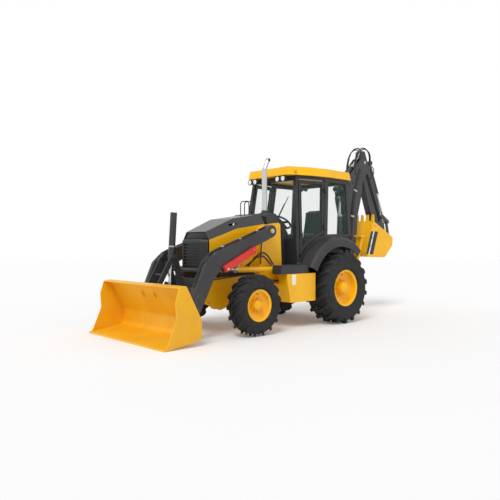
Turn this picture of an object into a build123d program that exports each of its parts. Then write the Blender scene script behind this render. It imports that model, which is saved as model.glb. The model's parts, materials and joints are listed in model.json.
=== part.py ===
from build123d import *
import os
from math import cos, radians, sin

os.makedirs("parts", exist_ok=True)

# Backhoe loader at its real size, in millimetres. +X is forward, +Y is the machine's left, +Z is up.
# The origin is on the ground, midway along the machine and across it.
# Side views give x from the rear axle and z from the ground.

LOADER_REACH = 3940.0         # loader bucket's edge, ahead of the rear axle
HOE_REACH = 3000.0            # folded backhoe's rearmost point, behind the rear axle
REAR_AXLE_X = (HOE_REACH - LOADER_REACH) / 2
WHEELBASE = 2140.0
RUNNING_GAP = 0.3             # between a pin and its bore, and between parts that slide
SIDE_GAP = 6.0                # between plates that pass each other

REAR_TYRE_RADIUS = 647.0
REAR_TYRE_WIDTH = 490.0
REAR_TRACK = 1690.0
REAR_RIM_RADIUS = 308.0
REAR_DISC = 62.0              # wheel disc's inner face, outward from the middle of the tyre
FRONT_TYRE_RADIUS = 481.0
FRONT_TYRE_WIDTH = 305.0
FRONT_TRACK = 1830.0
FRONT_RIM_RADIUS = 229.0
FRONT_DISC = 8.0

FRAME_HALF = 430.0            # main frame's plates, outer faces
FRAME_PLATE = 25.0
FRAME_TOP = 973.0
FRAME_REAR = -560.0
TOWER_OUTER = 588.0           # loader tower's outer face
ARM_INNER = 600.0
ARM_WIDTH = 140.0
ARM_OUTER = ARM_INNER + ARM_WIDTH
LOADER_PIVOT = (1577.0, 1658.0)
LOADER_PIVOT_RADIUS = 38.0
BUCKET_PIN = (3215.0, 285.0)
BUCKET_PIN_RADIUS = 30.0
BUCKET_WIDTH = 2184.0
BUCKET_WALL = 20.0
CUTTING_EDGE = 25.0

LIFT_BASE = (1400.0, 1010.0)  # loader lift cylinder's pin on the frame
LIFT_EYE = (2593.0, 1045.0)   # and its rod's pin on the arm
LIFT_BARREL_RADIUS = 46.0
LIFT_ROD_RADIUS = 25.0
LIFT_CYLINDER_Y = 668.0
EYE_HALF = 32.0               # half width of a cylinder's eye

LEVER_PIN = (2960.0, 725.0)   # guide lever of the loader bucket, on the arms' lower tube
LEVER_TUBE_RADIUS = 38.0
LEVER_TOP = (3150.0, 1235.0)
LEVER_TRUNNION = (3080.0, 1230.0)
BUCKET_EAR_PIN = (BUCKET_PIN[0] + LEVER_TOP[0] - LEVER_PIN[0], BUCKET_PIN[1] + LEVER_TOP[1] - LEVER_PIN[1])
LEVER_NEAR = 96.0             # guide lever's plates, from the middle outwards
LEVER_PLATE = 22.0
LINK_NEAR = LEVER_NEAR + LEVER_PLATE + SIDE_GAP
EAR_NEAR = LINK_NEAR + LEVER_PLATE + SIDE_GAP
TILT_FOOT = (3134.0, 420.0)   # bucket cylinder's rod eye, between the arms
TILT_TOP = 706.0              # barrel's length above its trunnion
TILT_BARREL_RADIUS = 53.0
TILT_ROD_RADIUS = 28.0
CROSS_TUBE = (2740.0, 1020.0)
CROSS_TUBE_RADIUS = 35.0

HOOD_HALF = 425.0
HOOD_WALL = 6.0
HOOD_REAR = 1450.0
HOOD_FRONT = 2600.0
HOOD_HINGE = (1436.0, 1950.0)
HOOD_PIN_RADIUS = 8.0
COWL_FRONT = 1405.0
COWL_TOP = 1985.0
CAB_WALL = 60.0
CAB_SILL = 1480.0             # top of the floor's tub
CAB_EAVES = 2680.0
TUB_HALF = 560.0

FENDER_CENTRE = (40.0, 640.0)
FENDER_RADIUS = 930.0
FENDER_START = 26.0
FENDER_SWEEP = 104.0
FENDER_OUTER = 1000.0
FENDER_SKIN = 20.0
DOOR_SWEEP_RADIUS = 1015.0    # door's lower edge, about the fender's centre, so that it swings over the fender
DOOR_GAP = 5.0
DOOR_FENDER_GAP = 20.0         # at the lower arc, which comes nearest to the fender as the door swings

SWING_X = -1050.0             # backhoe's swing axis
KING_PIN_RADIUS = 45.0
BOOM_PIN = (-1250.0, 760.0)
DIPPER_PIN = (-1890.0, 3240.0)
HOE_BUCKET_PIN = (-2650.0, 1735.0)
HOE_LINK_PIN = (-2930.0, 1530.0)
ROCKER_PIN = (-2500.0, 2140.0)
ROCKER_LENGTH = 360.0
LINK_LENGTH = 460.0
HOE_HALF = 120.0              # half width of boom
BOOM_PLATE = 28.0
DIPPER_HALF = 74.0
HOE_BUCKET_HALF = 305.0
PIN_RADIUS = 28.0
CYLINDER_PIN_RADIUS = 24.0
STABILIZER_X = -699.0
STABILIZER_THICK = 60.0
STABILIZER_PIVOT = (600.0, 480.0)   # width and height
STABILIZER_TIP = (862.0, 1560.0)

SIDES = (("left", 1), ("right", -1))
FRONT_AXLE = (WHEELBASE, FRONT_TYRE_RADIUS)
REAR_AXLE = (0.0, REAR_TYRE_RADIUS)


def side(y=0.0):
    """Plane of a side view at width y: its x runs forward from the rear axle, its y runs up."""
    return Plane(origin=(REAR_AXLE_X, y, 0), x_dir=(1, 0, 0), z_dir=(0, -1, 0))


def facing(x):
    """Plane of a front view at x from the rear axle: its x runs left, its y runs up."""
    return Plane(origin=(REAR_AXLE_X + x, 0, 0), x_dir=(0, 1, 0), z_dir=(1, 0, 0))


def level(z):
    """Plane of a top view at height z: its x runs forward from the rear axle, its y runs left."""
    return Plane(origin=(REAR_AXLE_X, 0, z))


def outline(plane, points):
    """Sketch through the points; a third value of a point is the radius that rounds its corner."""
    with BuildSketch(plane) as face:
        with BuildLine():
            Polyline(*[(p[0], p[1]) for p in points], close=True)
        make_face()
        for p in points:
            if len(p) == 3:
                fillet(face.vertices().sort_by_distance((p[0], p[1], 0))[0], p[2])
    return face.sketch


def plate(points, y_low, y_high, mode=Mode.ADD):
    """Plate with a side-view outline, from width y_low to y_high."""
    extrude(outline(side(y_high), points), amount=y_high - y_low, mode=mode)


def block(x, y, z, mode=Mode.ADD):
    """Block between pairs of x, y and z."""
    with BuildSketch(level(z[0])) as face:
        with Locations(((x[0] + x[1]) / 2, (y[0] + y[1]) / 2)):
            Rectangle(x[1] - x[0], y[1] - y[0])
    extrude(face.sketch, amount=z[1] - z[0], mode=mode)


def boss(centre, radius, y_low, y_high, mode=Mode.ADD):
    """Round bar or bore across the machine."""
    with BuildSketch(side(y_high)) as face:
        with Locations(centre):
            Circle(radius)
    extrude(face.sketch, amount=y_high - y_low, mode=mode)


def bar(start, end, radius_start, radius_end, y_low, y_high, mode=Mode.ADD):
    """Flat bar with round ends about two pins."""
    with BuildSketch(side(y_high)) as face:
        with Locations(start):
            Circle(radius_start)
        with Locations(end):
            Circle(radius_end)
        make_hull()
    extrude(face.sketch, amount=y_high - y_low, mode=mode)


def upright(centre, radius, z_low, z_high, mode=Mode.ADD):
    """Upright round bar or bore, its centre as (x from the rear axle, y)."""
    with BuildSketch(level(z_low)) as face:
        with Locations(centre):
            Circle(radius)
    extrude(face.sketch, amount=z_high - z_low, mode=mode)


def along(start, end, distance):
    """Point at a distance from start towards end, in a side view."""
    length = span(start, end)
    return tuple(a + (b - a) * distance / length for a, b in zip(start, end))


def span(start, end):
    """Distance between two points of a side view."""
    return ((end[0] - start[0]) ** 2 + (end[1] - start[1]) ** 2) ** 0.5


def round_bar(start, end, radius, y=0.0, mode=Mode.ADD):
    """Round bar between two points of the side view at width y."""
    first = Vector(REAR_AXLE_X + start[0], y, start[1])
    last = Vector(REAR_AXLE_X + end[0], y, end[1])
    with BuildSketch(Plane(origin=first, z_dir=last - first)) as face:
        Circle(radius)
    extrude(face.sketch, amount=(last - first).length, mode=mode)


def both(sign, near, far):
    """Low and high width of a piece between near and far of the middle, on the side of sign."""
    return min(sign * near, sign * far), max(sign * near, sign * far)


def turned(centre, points, sign, y_middle, mode=Mode.ADD):
    """Body of revolution about an axle: points are (outward from y_middle, radius)."""
    middle = Plane(origin=(REAR_AXLE_X + centre[0], sign * y_middle, centre[1]), x_dir=(0, sign, 0),
                   z_dir=(1, 0, 0))
    with BuildSketch(middle) as face:
        with BuildLine():
            Polyline(*points, close=True)
        make_face()
    revolve(face.sketch, axis=Axis(middle.origin, (0, 1, 0)), mode=mode)


def save(piece, name):
    """Label the finished piece and write it."""
    piece.part.label = name
    export_step(piece.part, f"parts/{name}.step")


# Main frame: two side plates, cross members, front nose and the two loader towers
AXLE_SADDLE = 700.0           # underside of the frame's front saddle
ENGINE_SEAT = 860.0
FRAME_OUTLINE = [(2790, 520, 20), (2750, 885, 30), (1145, FRAME_TOP), (FRAME_REAR, FRAME_TOP),
                 (FRAME_REAR, 520, 40), (-300, 520), (-260, 760, 60), (260, 760, 60), (300, 520), (560, 520, 60),
                 (1170, 540), (1420, 780, 120), (1980, 800, 60), (2225, 640, 60), (2245, 425, 30), (2500, 410, 60)]
TIE_DOWN_FRONT = (2670.0, 515.0)
TIE_DOWN_REAR = (-610.0, 1000.0)
TIE_DOWN_RADIUS = 20.0
TIE_DOWN_DEPTH = 25.0
TOWER_OUTLINE = [(1150, 820), (1700, 860), (1672, 1690, 70), (1560, 1760, 60), (1240, 1812, 20), (1200, 1790, 10)]
with BuildPart() as main_frame:
    for _, sign in SIDES:
        plate(FRAME_OUTLINE, *both(sign, FRAME_HALF - FRAME_PLATE, FRAME_HALF))
        plate(TOWER_OUTLINE, *both(sign, FRAME_HALF, TOWER_OUTER - 30))
        boss(LOADER_PIVOT, 80, *both(sign, TOWER_OUTER - 40, TOWER_OUTER))
        boss(LOADER_PIVOT, LOADER_PIVOT_RADIUS, *both(sign, TOWER_OUTER - 30, ARM_OUTER + 18))
        bar(LIFT_BASE, (LIFT_BASE[0], 930), 60, 70, *both(sign, FRAME_HALF, TOWER_OUTER))
        boss(LIFT_BASE, PIN_RADIUS, *both(sign, TOWER_OUTER - 30, LIFT_CYLINDER_Y + 50))
    inner = (-(FRAME_HALF - FRAME_PLATE), FRAME_HALF - FRAME_PLATE)
    block((2560, 2740), inner, (560, ENGINE_SEAT))
    block((1180, 1300), inner, (600, 900))
    block((620, 720), inner, (560, 900))
    block((FRAME_REAR, FRAME_REAR + 80), inner, (540, 960))
    for _, sign in SIDES:
        boss(TIE_DOWN_FRONT, TIE_DOWN_RADIUS, *both(sign, FRAME_HALF - FRAME_PLATE - 5, FRAME_HALF + 5), mode=Mode.SUBTRACT)
    block((1960, 2320), (-130, 130), (AXLE_SADDLE, ENGINE_SEAT))
    block((2100, 2570), inner, (800, ENGINE_SEAT))
save(main_frame, "main_frame")

with BuildPart() as engine_block:
    block((1480, 2300), (-240, 240), (ENGINE_SEAT, 1560))
save(engine_block, "engine_block")

# Grille nose: radiator surround that stands inside the hood's front end
GRILLE_BACK = 2480.0
GRILLE_FRONT = 2695.0
GRILLE_TOP = 1525.0
GRILLE_CHIN = 1005.0
SLOTS = 8
SLOT_BOTTOM = 1065.0
SLOT_PITCH = 50.0
SLOT_HEIGHT = 28.0
with BuildPart() as grille:
    with BuildSketch(level(ENGINE_SEAT)) as foot:
        with BuildLine():
            Polyline((GRILLE_BACK, -340), (2610, -340), (GRILLE_FRONT, -250), (GRILLE_FRONT, 250), (2610, 340),
                     (GRILLE_BACK, 340), close=True)
        make_face()
    extrude(foot.sketch, amount=GRILLE_TOP - ENGINE_SEAT)
    fillet(grille.faces().sort_by(Axis.Z)[-1].edges().sort_by(Axis.X)[-3:], 60)
    plate([(2610, ENGINE_SEAT - 10), (2640, 960), (GRILLE_FRONT + 10, GRILLE_CHIN + 10), (GRILLE_FRONT + 20, 800)],
          -400, 400, mode=Mode.SUBTRACT)
    for slot in range(SLOTS):
        z = SLOT_BOTTOM + slot * SLOT_PITCH
        block((GRILLE_FRONT - 30, GRILLE_FRONT + 5), (-215, 215), (z, z + SLOT_HEIGHT), mode=Mode.SUBTRACT)
save(grille, "grille")

# Hood: one skin over the engine and its sides, hinged at its rear top edge, open below and in front
# Its sections, as (x, half width below, shoulder height, half width of the top, top height)
HOOD_TABLE = (
    (HOOD_REAR, HOOD_HALF, 1800.0, 320.0, 1962.0),
    (2060.0, 396.0, 1700.0, 300.0, 1870.0),
    (HOOD_FRONT, 362.0, 1500.0, 265.0, 1640.0),
)
HOOD_BOTTOM = 1010.0
HOOD_VENT = [(2185, 1735, 8), (2015, 1768, 8), (2020, 1798, 8), (2180, 1768, 8)]
with BuildPart() as hood:
    for mode, wall in ((Mode.ADD, 0.0), (Mode.SUBTRACT, HOOD_WALL)):
        sections = []
        for x, half, shoulder, top_half, top in HOOD_TABLE:
            with BuildSketch(facing(x)) as section:
                with BuildLine():
                    Polyline((-half + wall, HOOD_BOTTOM), (-half + wall, shoulder - wall), (-top_half + wall, top - wall),
                             (top_half - wall, top - wall), (half - wall, shoulder - wall), (half - wall, HOOD_BOTTOM),
                             close=True)
                make_face()
            sections.append(section.sketch.face())
        loft(sections, ruled=True, mode=mode)
    plate([(HOOD_REAR - 50, 900), (2800, 900), (2800, 1180), (2500, 1130), (1700, HOOD_BOTTOM + 8), (HOOD_REAR - 50, HOOD_BOTTOM + 8)],
          -HOOD_HALF - 20, HOOD_HALF + 20, mode=Mode.SUBTRACT)
    plate([(HOOD_HINGE[0], HOOD_HINGE[1] - 10), (1500, 1940), (1500, 1958), (HOOD_HINGE[0], HOOD_HINGE[1] + 10)], -200, 200)
    plate(HOOD_VENT, -HOOD_HALF - 20, HOOD_HALF + 20, mode=Mode.SUBTRACT)
    boss(HOOD_HINGE, 12, -200, 200)
    boss(HOOD_HINGE, HOOD_PIN_RADIUS + RUNNING_GAP, -210, 210, mode=Mode.SUBTRACT)
save(hood, "hood")

# Cowl between the hood and the cab, carrying the hood's hinge and the exhaust
COWL_OUTLINE = [(940, FRAME_TOP), (COWL_FRONT, FRAME_TOP), (COWL_FRONT, 1930), (1385, COWL_TOP, 30), (1200, COWL_TOP, 100),
                (940, 1800, 40)]
with BuildPart() as cowl:
    plate(COWL_OUTLINE, -FRAME_HALF + RUNNING_GAP, FRAME_HALF - RUNNING_GAP)
    for _, sign in SIDES:
        bar((COWL_FRONT - 20, HOOD_HINGE[1] - 15), HOOD_HINGE, 25, 12, *both(sign, 206, 226))
    boss(HOOD_HINGE, HOOD_PIN_RADIUS, -226, 226)
save(cowl, "cowl")

EXHAUST_Y = 270.0
EXHAUST_X = 1300.0
EXHAUST_RADIUS = 47.0
TAILPIPE_RADIUS = 38.0
with BuildPart() as exhaust:
    upright((EXHAUST_X, EXHAUST_Y), EXHAUST_RADIUS, COWL_TOP, 2760)
    round_bar((EXHAUST_X, 2755), (1225, 2915), TAILPIPE_RADIUS, EXHAUST_Y)
    round_bar((1225, 2915), (1220, 2960), TAILPIPE_RADIUS, EXHAUST_Y)
save(exhaust, "exhaust")

# Guard on the cowl: two hoops of round tube
GUARD_RADIUS = 9.0
GUARD_HOOPS = (1345.0, 1250.0)
GUARD_HOOP = ((-315, COWL_TOP), (-315, 2225), (-90, 2225), (-90, COWL_TOP))
with BuildPart() as cowl_guard:
    for x in GUARD_HOOPS:
        with BuildLine():
            hoop = FilletPolyline(*[(REAR_AXLE_X + x, y, z) for y, z in GUARD_HOOP], radius=55)
        with BuildSketch(Plane(origin=hoop @ 0, z_dir=hoop % 0)):
            Circle(GUARD_RADIUS)
        sweep(path=hoop)
save(cowl_guard, "cowl_guard")

# Cab: a tapered shell, as sections from the bottom up
CAB_TABLE = (
    # z, front x, front half, door post x, door post half, rear x, rear half
    (1095.0, 930.0, 718.0, 302.0, 800.0, -560.0, 770.0),
    (CAB_SILL, 930.0, 690.0, 260.0, 780.0, -560.0, 760.0),
    (CAB_EAVES, 800.0, 560.0, 130.0, 700.0, -560.0, 690.0),
)


def cab_ring(row, inset):
    """Closed outline of the cab at one height of the table, inset by a wall."""
    z, front, front_half, post, post_half, rear, rear_half = row
    with BuildSketch(level(z)) as ring:
        with BuildLine():
            Polyline((front - inset, -front_half + inset), (front - inset, front_half - inset),
                     (post, post_half - inset), (rear + inset, rear_half - inset),
                     (rear + inset, -rear_half + inset), (post, -post_half + inset), close=True)
        make_face()
    return ring.sketch.face()


def cab_walls(outer, inner):
    """Tapered shell between two insets."""
    loft([cab_ring(row, outer) for row in CAB_TABLE], ruled=True)
    loft([cab_ring(row, inner) for row in CAB_TABLE], ruled=True, mode=Mode.SUBTRACT)


def post_x(z):
    """Door post's corner line, x at height z."""
    return CAB_TABLE[1][3] + (CAB_TABLE[2][3] - CAB_TABLE[1][3]) * (z - CAB_SILL) / (CAB_EAVES - CAB_SILL)


def post_half(z):
    """Door post's corner line, half width at height z."""
    return CAB_TABLE[1][4] + (CAB_TABLE[2][4] - CAB_TABLE[1][4]) * (z - CAB_SILL) / (CAB_EAVES - CAB_SILL)


POST_TO_DOOR = 34.0
HINGE_TO_DOOR = 14.0
GLASS_RIM = 55.0
DOOR_OUTLINE = [(post_x(1500) + POST_TO_DOOR, 1500), (post_x(2600) + POST_TO_DOOR, 2600, 40), (750, 2600, 60),
                (868, 1180), (800, 1100), (post_x(1100) + POST_TO_DOOR, 1100)]
SWING_RELIEF = 15.0            # more room at the door's free edge and above it, for its corner as it swings out
DOOR_OPENING = [(post_x(1500) + POST_TO_DOOR, 1500), (post_x(2600) + POST_TO_DOOR, 2600 + SWING_RELIEF),
                (750 + SWING_RELIEF, 2600 + SWING_RELIEF), (868 + SWING_RELIEF, 1180), (800 + SWING_RELIEF, 1100),
                (post_x(1100) + POST_TO_DOOR, 1100)]
DOOR_GLASS = [(post_x(1640) + POST_TO_DOOR + GLASS_RIM, 1640, 30), (post_x(2540) + POST_TO_DOOR + GLASS_RIM, 2540, 40),
              (700, 2540, 50), (805, 1300, 30), (740, 1345, 40)]
SIDE_GLASS = [(post_x(1620) - 70, 1620, 40), (post_x(2600) - 70, 2600, 40), (-460, 2600, 40), (-460, 1640, 40)]
FRONT_GLASS = (610.0, 1540.0, 500.0, 2600.0)
REAR_GLASS = (640.0, 1580.0, 590.0, 2600.0)


def wall_prism(points, grow, mode, keep_over=0.0):
    """Opening through both side walls, grown by a gap, down to an arc over the fender."""
    for _, sign in SIDES:
        with BuildSketch(side(sign * 900)) as shape:
            with BuildLine():
                Polyline(*[(p[0], p[1]) for p in points], close=True)
            make_face()
            offset(amount=grow, kind=Kind.INTERSECTION)
            if keep_over:
                with Locations(FENDER_CENTRE):
                    Circle(keep_over, mode=Mode.SUBTRACT)
        extrude(shape.sketch, amount=sign * 500, mode=mode)


def end_window(half_low, z_low, half_high, z_high, x_low, x_high, mode):
    """Opening through the cab's front or rear wall."""
    with BuildSketch(facing(x_low)) as shape:
        with BuildLine():
            Polyline((-half_low, z_low), (half_low, z_low), (half_high, z_high), (-half_high, z_high), close=True)
        make_face()
    extrude(shape.sketch, amount=x_high - x_low, mode=mode)


# Door hinges lie on a line just outside the door post, which leans with it
HINGE_RADIUS = 12.0
HINGE_PIN_RADIUS = 7.0
HINGE_OUT = 14.0
HINGE_HEIGHTS = (1760.0, 2440.0)
HINGE_HALF = 35.0


def hinge_point(z, sign):
    """Point of the door's hinge line at height z."""
    return Vector(REAR_AXLE_X + post_x(z) + POST_TO_DOOR - HINGE_TO_DOOR, sign * (post_half(z) + HINGE_OUT), z)


def hinge_plane(z, sign):
    """Plane across the hinge line: its x runs forward, its y away from the cab."""
    up = hinge_point(z + 1, sign) - hinge_point(z, sign)
    return Plane(origin=hinge_point(z, sign), x_dir=Vector(0, sign, 0).cross(up) * sign, z_dir=up)


def hinge_drum(z, sign, radius, low, high, leaf, mode=Mode.ADD):
    """Drum on the hinge line, with a leaf towards the door or the post."""
    with BuildSketch(hinge_plane(z, sign).offset(low)) as drum:
        Circle(radius)
        if leaf:
            with Locations((leaf * 14, 0)):
                Rectangle(28, HINGE_RADIUS)
            with Locations((leaf * 25, -sign * 14)):
                Rectangle(18, 40)
    extrude(drum.sketch, amount=high - low, mode=mode)


with BuildPart() as cab_frame:
    cab_walls(0, CAB_WALL)
    wall_prism(DOOR_OPENING, DOOR_GAP, Mode.SUBTRACT, DOOR_SWEEP_RADIUS - DOOR_FENDER_GAP)
    wall_prism(SIDE_GLASS, 0, Mode.SUBTRACT)
    end_window(*FRONT_GLASS, 600, 1100, Mode.SUBTRACT)
    end_window(*REAR_GLASS, -700, -400, Mode.SUBTRACT)
    boss(FENDER_CENTRE, FENDER_RADIUS + RUNNING_GAP, -900, 900, mode=Mode.SUBTRACT)
    block((-700, 1000), (-TUB_HALF - RUNNING_GAP, TUB_HALF + RUNNING_GAP), (1000, CAB_SILL), mode=Mode.SUBTRACT)
    for _, sign in SIDES:
        for z in HINGE_HEIGHTS:
            hinge_drum(z, sign, HINGE_RADIUS, -HINGE_HALF - 12, -HINGE_HALF - 1, -1)
            hinge_drum(z, sign, HINGE_RADIUS, HINGE_HALF + 1, HINGE_HALF + 12, -1)
            hinge_drum(z, sign, HINGE_PIN_RADIUS, -HINGE_HALF - 12, HINGE_HALF + 12, 0)
save(cab_frame, "cab_frame")

PANE_OUT = 22.0
PANE_IN = 28.0
with BuildPart() as cab_glass:
    cab_walls(PANE_OUT, PANE_IN)
    with BuildPart(mode=Mode.PRIVATE) as panes:
        end_window(*FRONT_GLASS, 600, 1100, Mode.ADD)
        end_window(*REAR_GLASS, -700, -400, Mode.ADD)
        wall_prism(SIDE_GLASS, 0, Mode.ADD)
    add(panes.part, mode=Mode.INTERSECT)
save(cab_glass, "cab_glass")

for name, sign in SIDES:
    far_side = both(-sign, 0, 900)
    with BuildPart() as door:
        cab_walls(3, CAB_WALL - 6)
        block((-700, 1100), far_side, (1000, 2800), mode=Mode.SUBTRACT)
        with BuildPart(mode=Mode.PRIVATE) as leaf:
            wall_prism(DOOR_OUTLINE, 0, Mode.ADD, DOOR_SWEEP_RADIUS)
        add(leaf.part, mode=Mode.INTERSECT)
        wall_prism(DOOR_GLASS, 0, Mode.SUBTRACT, DOOR_SWEEP_RADIUS + GLASS_RIM)
        for z in HINGE_HEIGHTS:
            hinge_drum(z, sign, HINGE_RADIUS, -HINGE_HALF, HINGE_HALF, 1)
            hinge_drum(z, sign, HINGE_PIN_RADIUS + RUNNING_GAP, -HINGE_HALF - 1, HINGE_HALF + 1, 0, Mode.SUBTRACT)
    save(door, f"door_{name}")
    with BuildPart() as pane:
        cab_walls(PANE_OUT, PANE_IN)
        block((-700, 1100), far_side, (1000, 2800), mode=Mode.SUBTRACT)
        with BuildPart(mode=Mode.PRIVATE) as leaf:
            wall_prism(DOOR_GLASS, 0, Mode.ADD, DOOR_SWEEP_RADIUS + GLASS_RIM)
        add(leaf.part, mode=Mode.INTERSECT)
    save(pane, f"door_glass_{name}")

# Cab floor: a tub between the fenders, on mounts that stand on the frame
TUB_BOTTOM = 1090.0
with BuildPart() as cab_floor:
    block((-560, 925), (-TUB_HALF, TUB_HALF), (TUB_BOTTOM, CAB_SILL))
    block((-500, 865), (-TUB_HALF + 40, TUB_HALF - 40), (TUB_BOTTOM + 40, CAB_SILL + 20), mode=Mode.SUBTRACT)
    for _, sign in SIDES:
        for x in (-480, 820):
            block((x, x + 80), both(sign, FRAME_HALF - 50, FRAME_HALF), (FRAME_TOP, TUB_BOTTOM))
save(cab_floor, "cab_floor")

# Roof: a shallow tapered cap that overhangs the posts
with BuildPart() as cab_roof:
    with BuildSketch(level(CAB_EAVES)) as eaves:
        with BuildLine():
            Polyline((970, -530), (970, 530), (560, 690), (130, 760), (-600, 740), (-600, -740), (130, -760),
                     (560, -690), close=True)
        make_face()
        fillet(eaves.vertices(), 60)
    extrude(eaves.sketch, amount=150, taper=12)
save(cab_roof, "cab_roof")

# Work lamps in front of and behind the roof, as (lens face x, width, height, outward sign of x)
LAMP_RADIUS = 52.0
LAMP_DEPTH = 70.0
LAMP_ROWS = ((958.0, (-480.0, -340.0, 250.0, 390.0), 2620.0, 1), (-635.0, (-610.0, -480.0, 480.0, 610.0), 2615.0, -1))
with BuildPart() as roof_lamps:
    for face_x, widths, height, outward in LAMP_ROWS:
        for y in widths:
            with BuildSketch(Plane(origin=(REAR_AXLE_X + face_x, y, height), x_dir=(0, 1, 0), z_dir=(-outward, 0, 0))) as lamp:
                Circle(LAMP_RADIUS)
            extrude(lamp.sketch, amount=LAMP_DEPTH, taper=14)
            block(tuple(sorted((face_x - outward * 20, face_x - outward * 45))), (y - 12, y + 12), (height + 30, CAB_EAVES))
save(roof_lamps, "roof_lamps")

FLOOR_TOP = TUB_BOTTOM + 40
with BuildPart() as seat:
    plate([(-330, 1540, 30), (-410, 2120, 40), (-300, 2140, 40), (-190, 1660, 50), (250, 1660, 40), (250, 1540, 30)],
          -250, 250)
    block((-230, 150), (-150, 150), (FLOOR_TOP, 1545))
save(seat, "seat")

# Dash with the steering wheel, and the backhoe's control stand behind the seat
WHEEL_TILT = 35.0
with BuildPart() as console:
    plate([(520, FLOOR_TOP), (640, FLOOR_TOP), (800, 1700, 40), (700, 1800, 40), (580, 1640, 30)], -160, 160)
    block((-485, -425), (-300, 300), (FLOOR_TOP, 1560))
    tilt = radians(WHEEL_TILT)
    hub = Plane(origin=(REAR_AXLE_X + 600, 0, 1860), x_dir=(0, 1, 0), z_dir=(-sin(tilt), 0, cos(tilt)))
    with BuildSketch(hub.offset(-12)) as spokes:
        Circle(200)
        Circle(172, mode=Mode.SUBTRACT)
        Rectangle(380, 36)
        Rectangle(36, 380)
        Circle(45)
    extrude(spokes.sketch, amount=24)
    with BuildSketch(hub.offset(-160)) as column:
        Circle(25)
    extrude(column.sketch, amount=155)
save(console, "console")

# Fenders: an arched skin over each rear tyre with a skirt on its outer edge, beside the floor's tub
SKIRT = 170.0
with BuildPart() as fenders:
    for _, sign in SIDES:
        middle = Plane(origin=(REAR_AXLE_X + FENDER_CENTRE[0], 0, FENDER_CENTRE[1]), x_dir=(0, sign, 0),
                       z_dir=(cos(radians(FENDER_START + 90)), 0, sin(radians(FENDER_START + 90))))
        up = 1 if middle.y_dir.Z > 0 else -1
        near = TUB_HALF + RUNNING_GAP
        with BuildSketch(middle) as section:
            with BuildLine():
                Polyline((near, up * FENDER_RADIUS), (FENDER_OUTER - 40, up * FENDER_RADIUS),
                         (FENDER_OUTER, up * (FENDER_RADIUS - 40)), (FENDER_OUTER, up * (FENDER_RADIUS - SKIRT)),
                         (FENDER_OUTER - FENDER_SKIN, up * (FENDER_RADIUS - SKIRT)),
                         (FENDER_OUTER - FENDER_SKIN, up * (FENDER_RADIUS - 45)),
                         (FENDER_OUTER - 50, up * (FENDER_RADIUS - FENDER_SKIN)),
                         (near, up * (FENDER_RADIUS - FENDER_SKIN)), close=True)
            make_face()
        revolve(section.sketch, axis=Axis(middle.origin, (0, -1, 0)), revolution_arc=FENDER_SWEEP)
save(fenders, "fenders")

# Step boxes and tanks under the cab, hung on the frame
TANK_TOP = 940.0
with BuildPart() as step_boxes:
    for _, sign in SIDES:
        block((900, 1560), both(sign, 730, 930), (TANK_TOP, 1085))
        block((900, 1140), both(sign, FRAME_HALF, 740), (TANK_TOP, 1085))
save(step_boxes, "step_boxes")

with BuildPart() as side_tanks:
    for _, sign in SIDES:
        plate([(700, 460, 20), (700, TANK_TOP), (1140, TANK_TOP), (1145, 810), (1400, 770), (1330, 460, 20)],
              *both(sign, FRAME_HALF, 930))
        plate([(1100, TANK_TOP), (1420, TANK_TOP), (1400, 760), (1100, 760)], *both(sign, 730, 930))
save(side_tanks, "side_tanks")

# Axles
FRONT_KINGPIN_Y = 720.0
KINGPIN_RADIUS = 50.0
KINGPIN_HALF = 80.0
STEERING_ARM = 215.0
STEERING_ROD_RADIUS = 16.0
STEERING_ROD_Z = FRONT_AXLE[1] + 40
with BuildPart() as front_axle:
    for _, sign in SIDES:
        turned(FRONT_AXLE, [(0, 0), (0, 140), (70, 150), (150, 120), (220, 62), (FRONT_KINGPIN_Y - 30, 56),
                            (FRONT_KINGPIN_Y - 30, 0)], sign, 0)
        upright((WHEELBASE, sign * FRONT_KINGPIN_Y), KINGPIN_RADIUS, FRONT_AXLE[1] - KINGPIN_HALF, FRONT_AXLE[1] + KINGPIN_HALF)
    block((WHEELBASE - 150, WHEELBASE + 150), (-90, 90), (560, AXLE_SADDLE))
    block((WHEELBASE - STEERING_ARM - 45, WHEELBASE - STEERING_ARM + 45), (-260, 260),
          (STEERING_ROD_Z - 45, STEERING_ROD_Z + 45))
    block((WHEELBASE - STEERING_ARM + 40, WHEELBASE - 60), (-60, 60), (STEERING_ROD_Z - 40, STEERING_ROD_Z + 40))
    boss((WHEELBASE - STEERING_ARM, STEERING_ROD_Z), STEERING_ROD_RADIUS + RUNNING_GAP, -265, 265, mode=Mode.SUBTRACT)
save(front_axle, "front_axle")

with BuildPart() as steering_rod:
    boss((WHEELBASE - STEERING_ARM, STEERING_ROD_Z), STEERING_ROD_RADIUS, -FRONT_KINGPIN_Y + 10, FRONT_KINGPIN_Y - 10)
save(steering_rod, "steering_rod")

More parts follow.
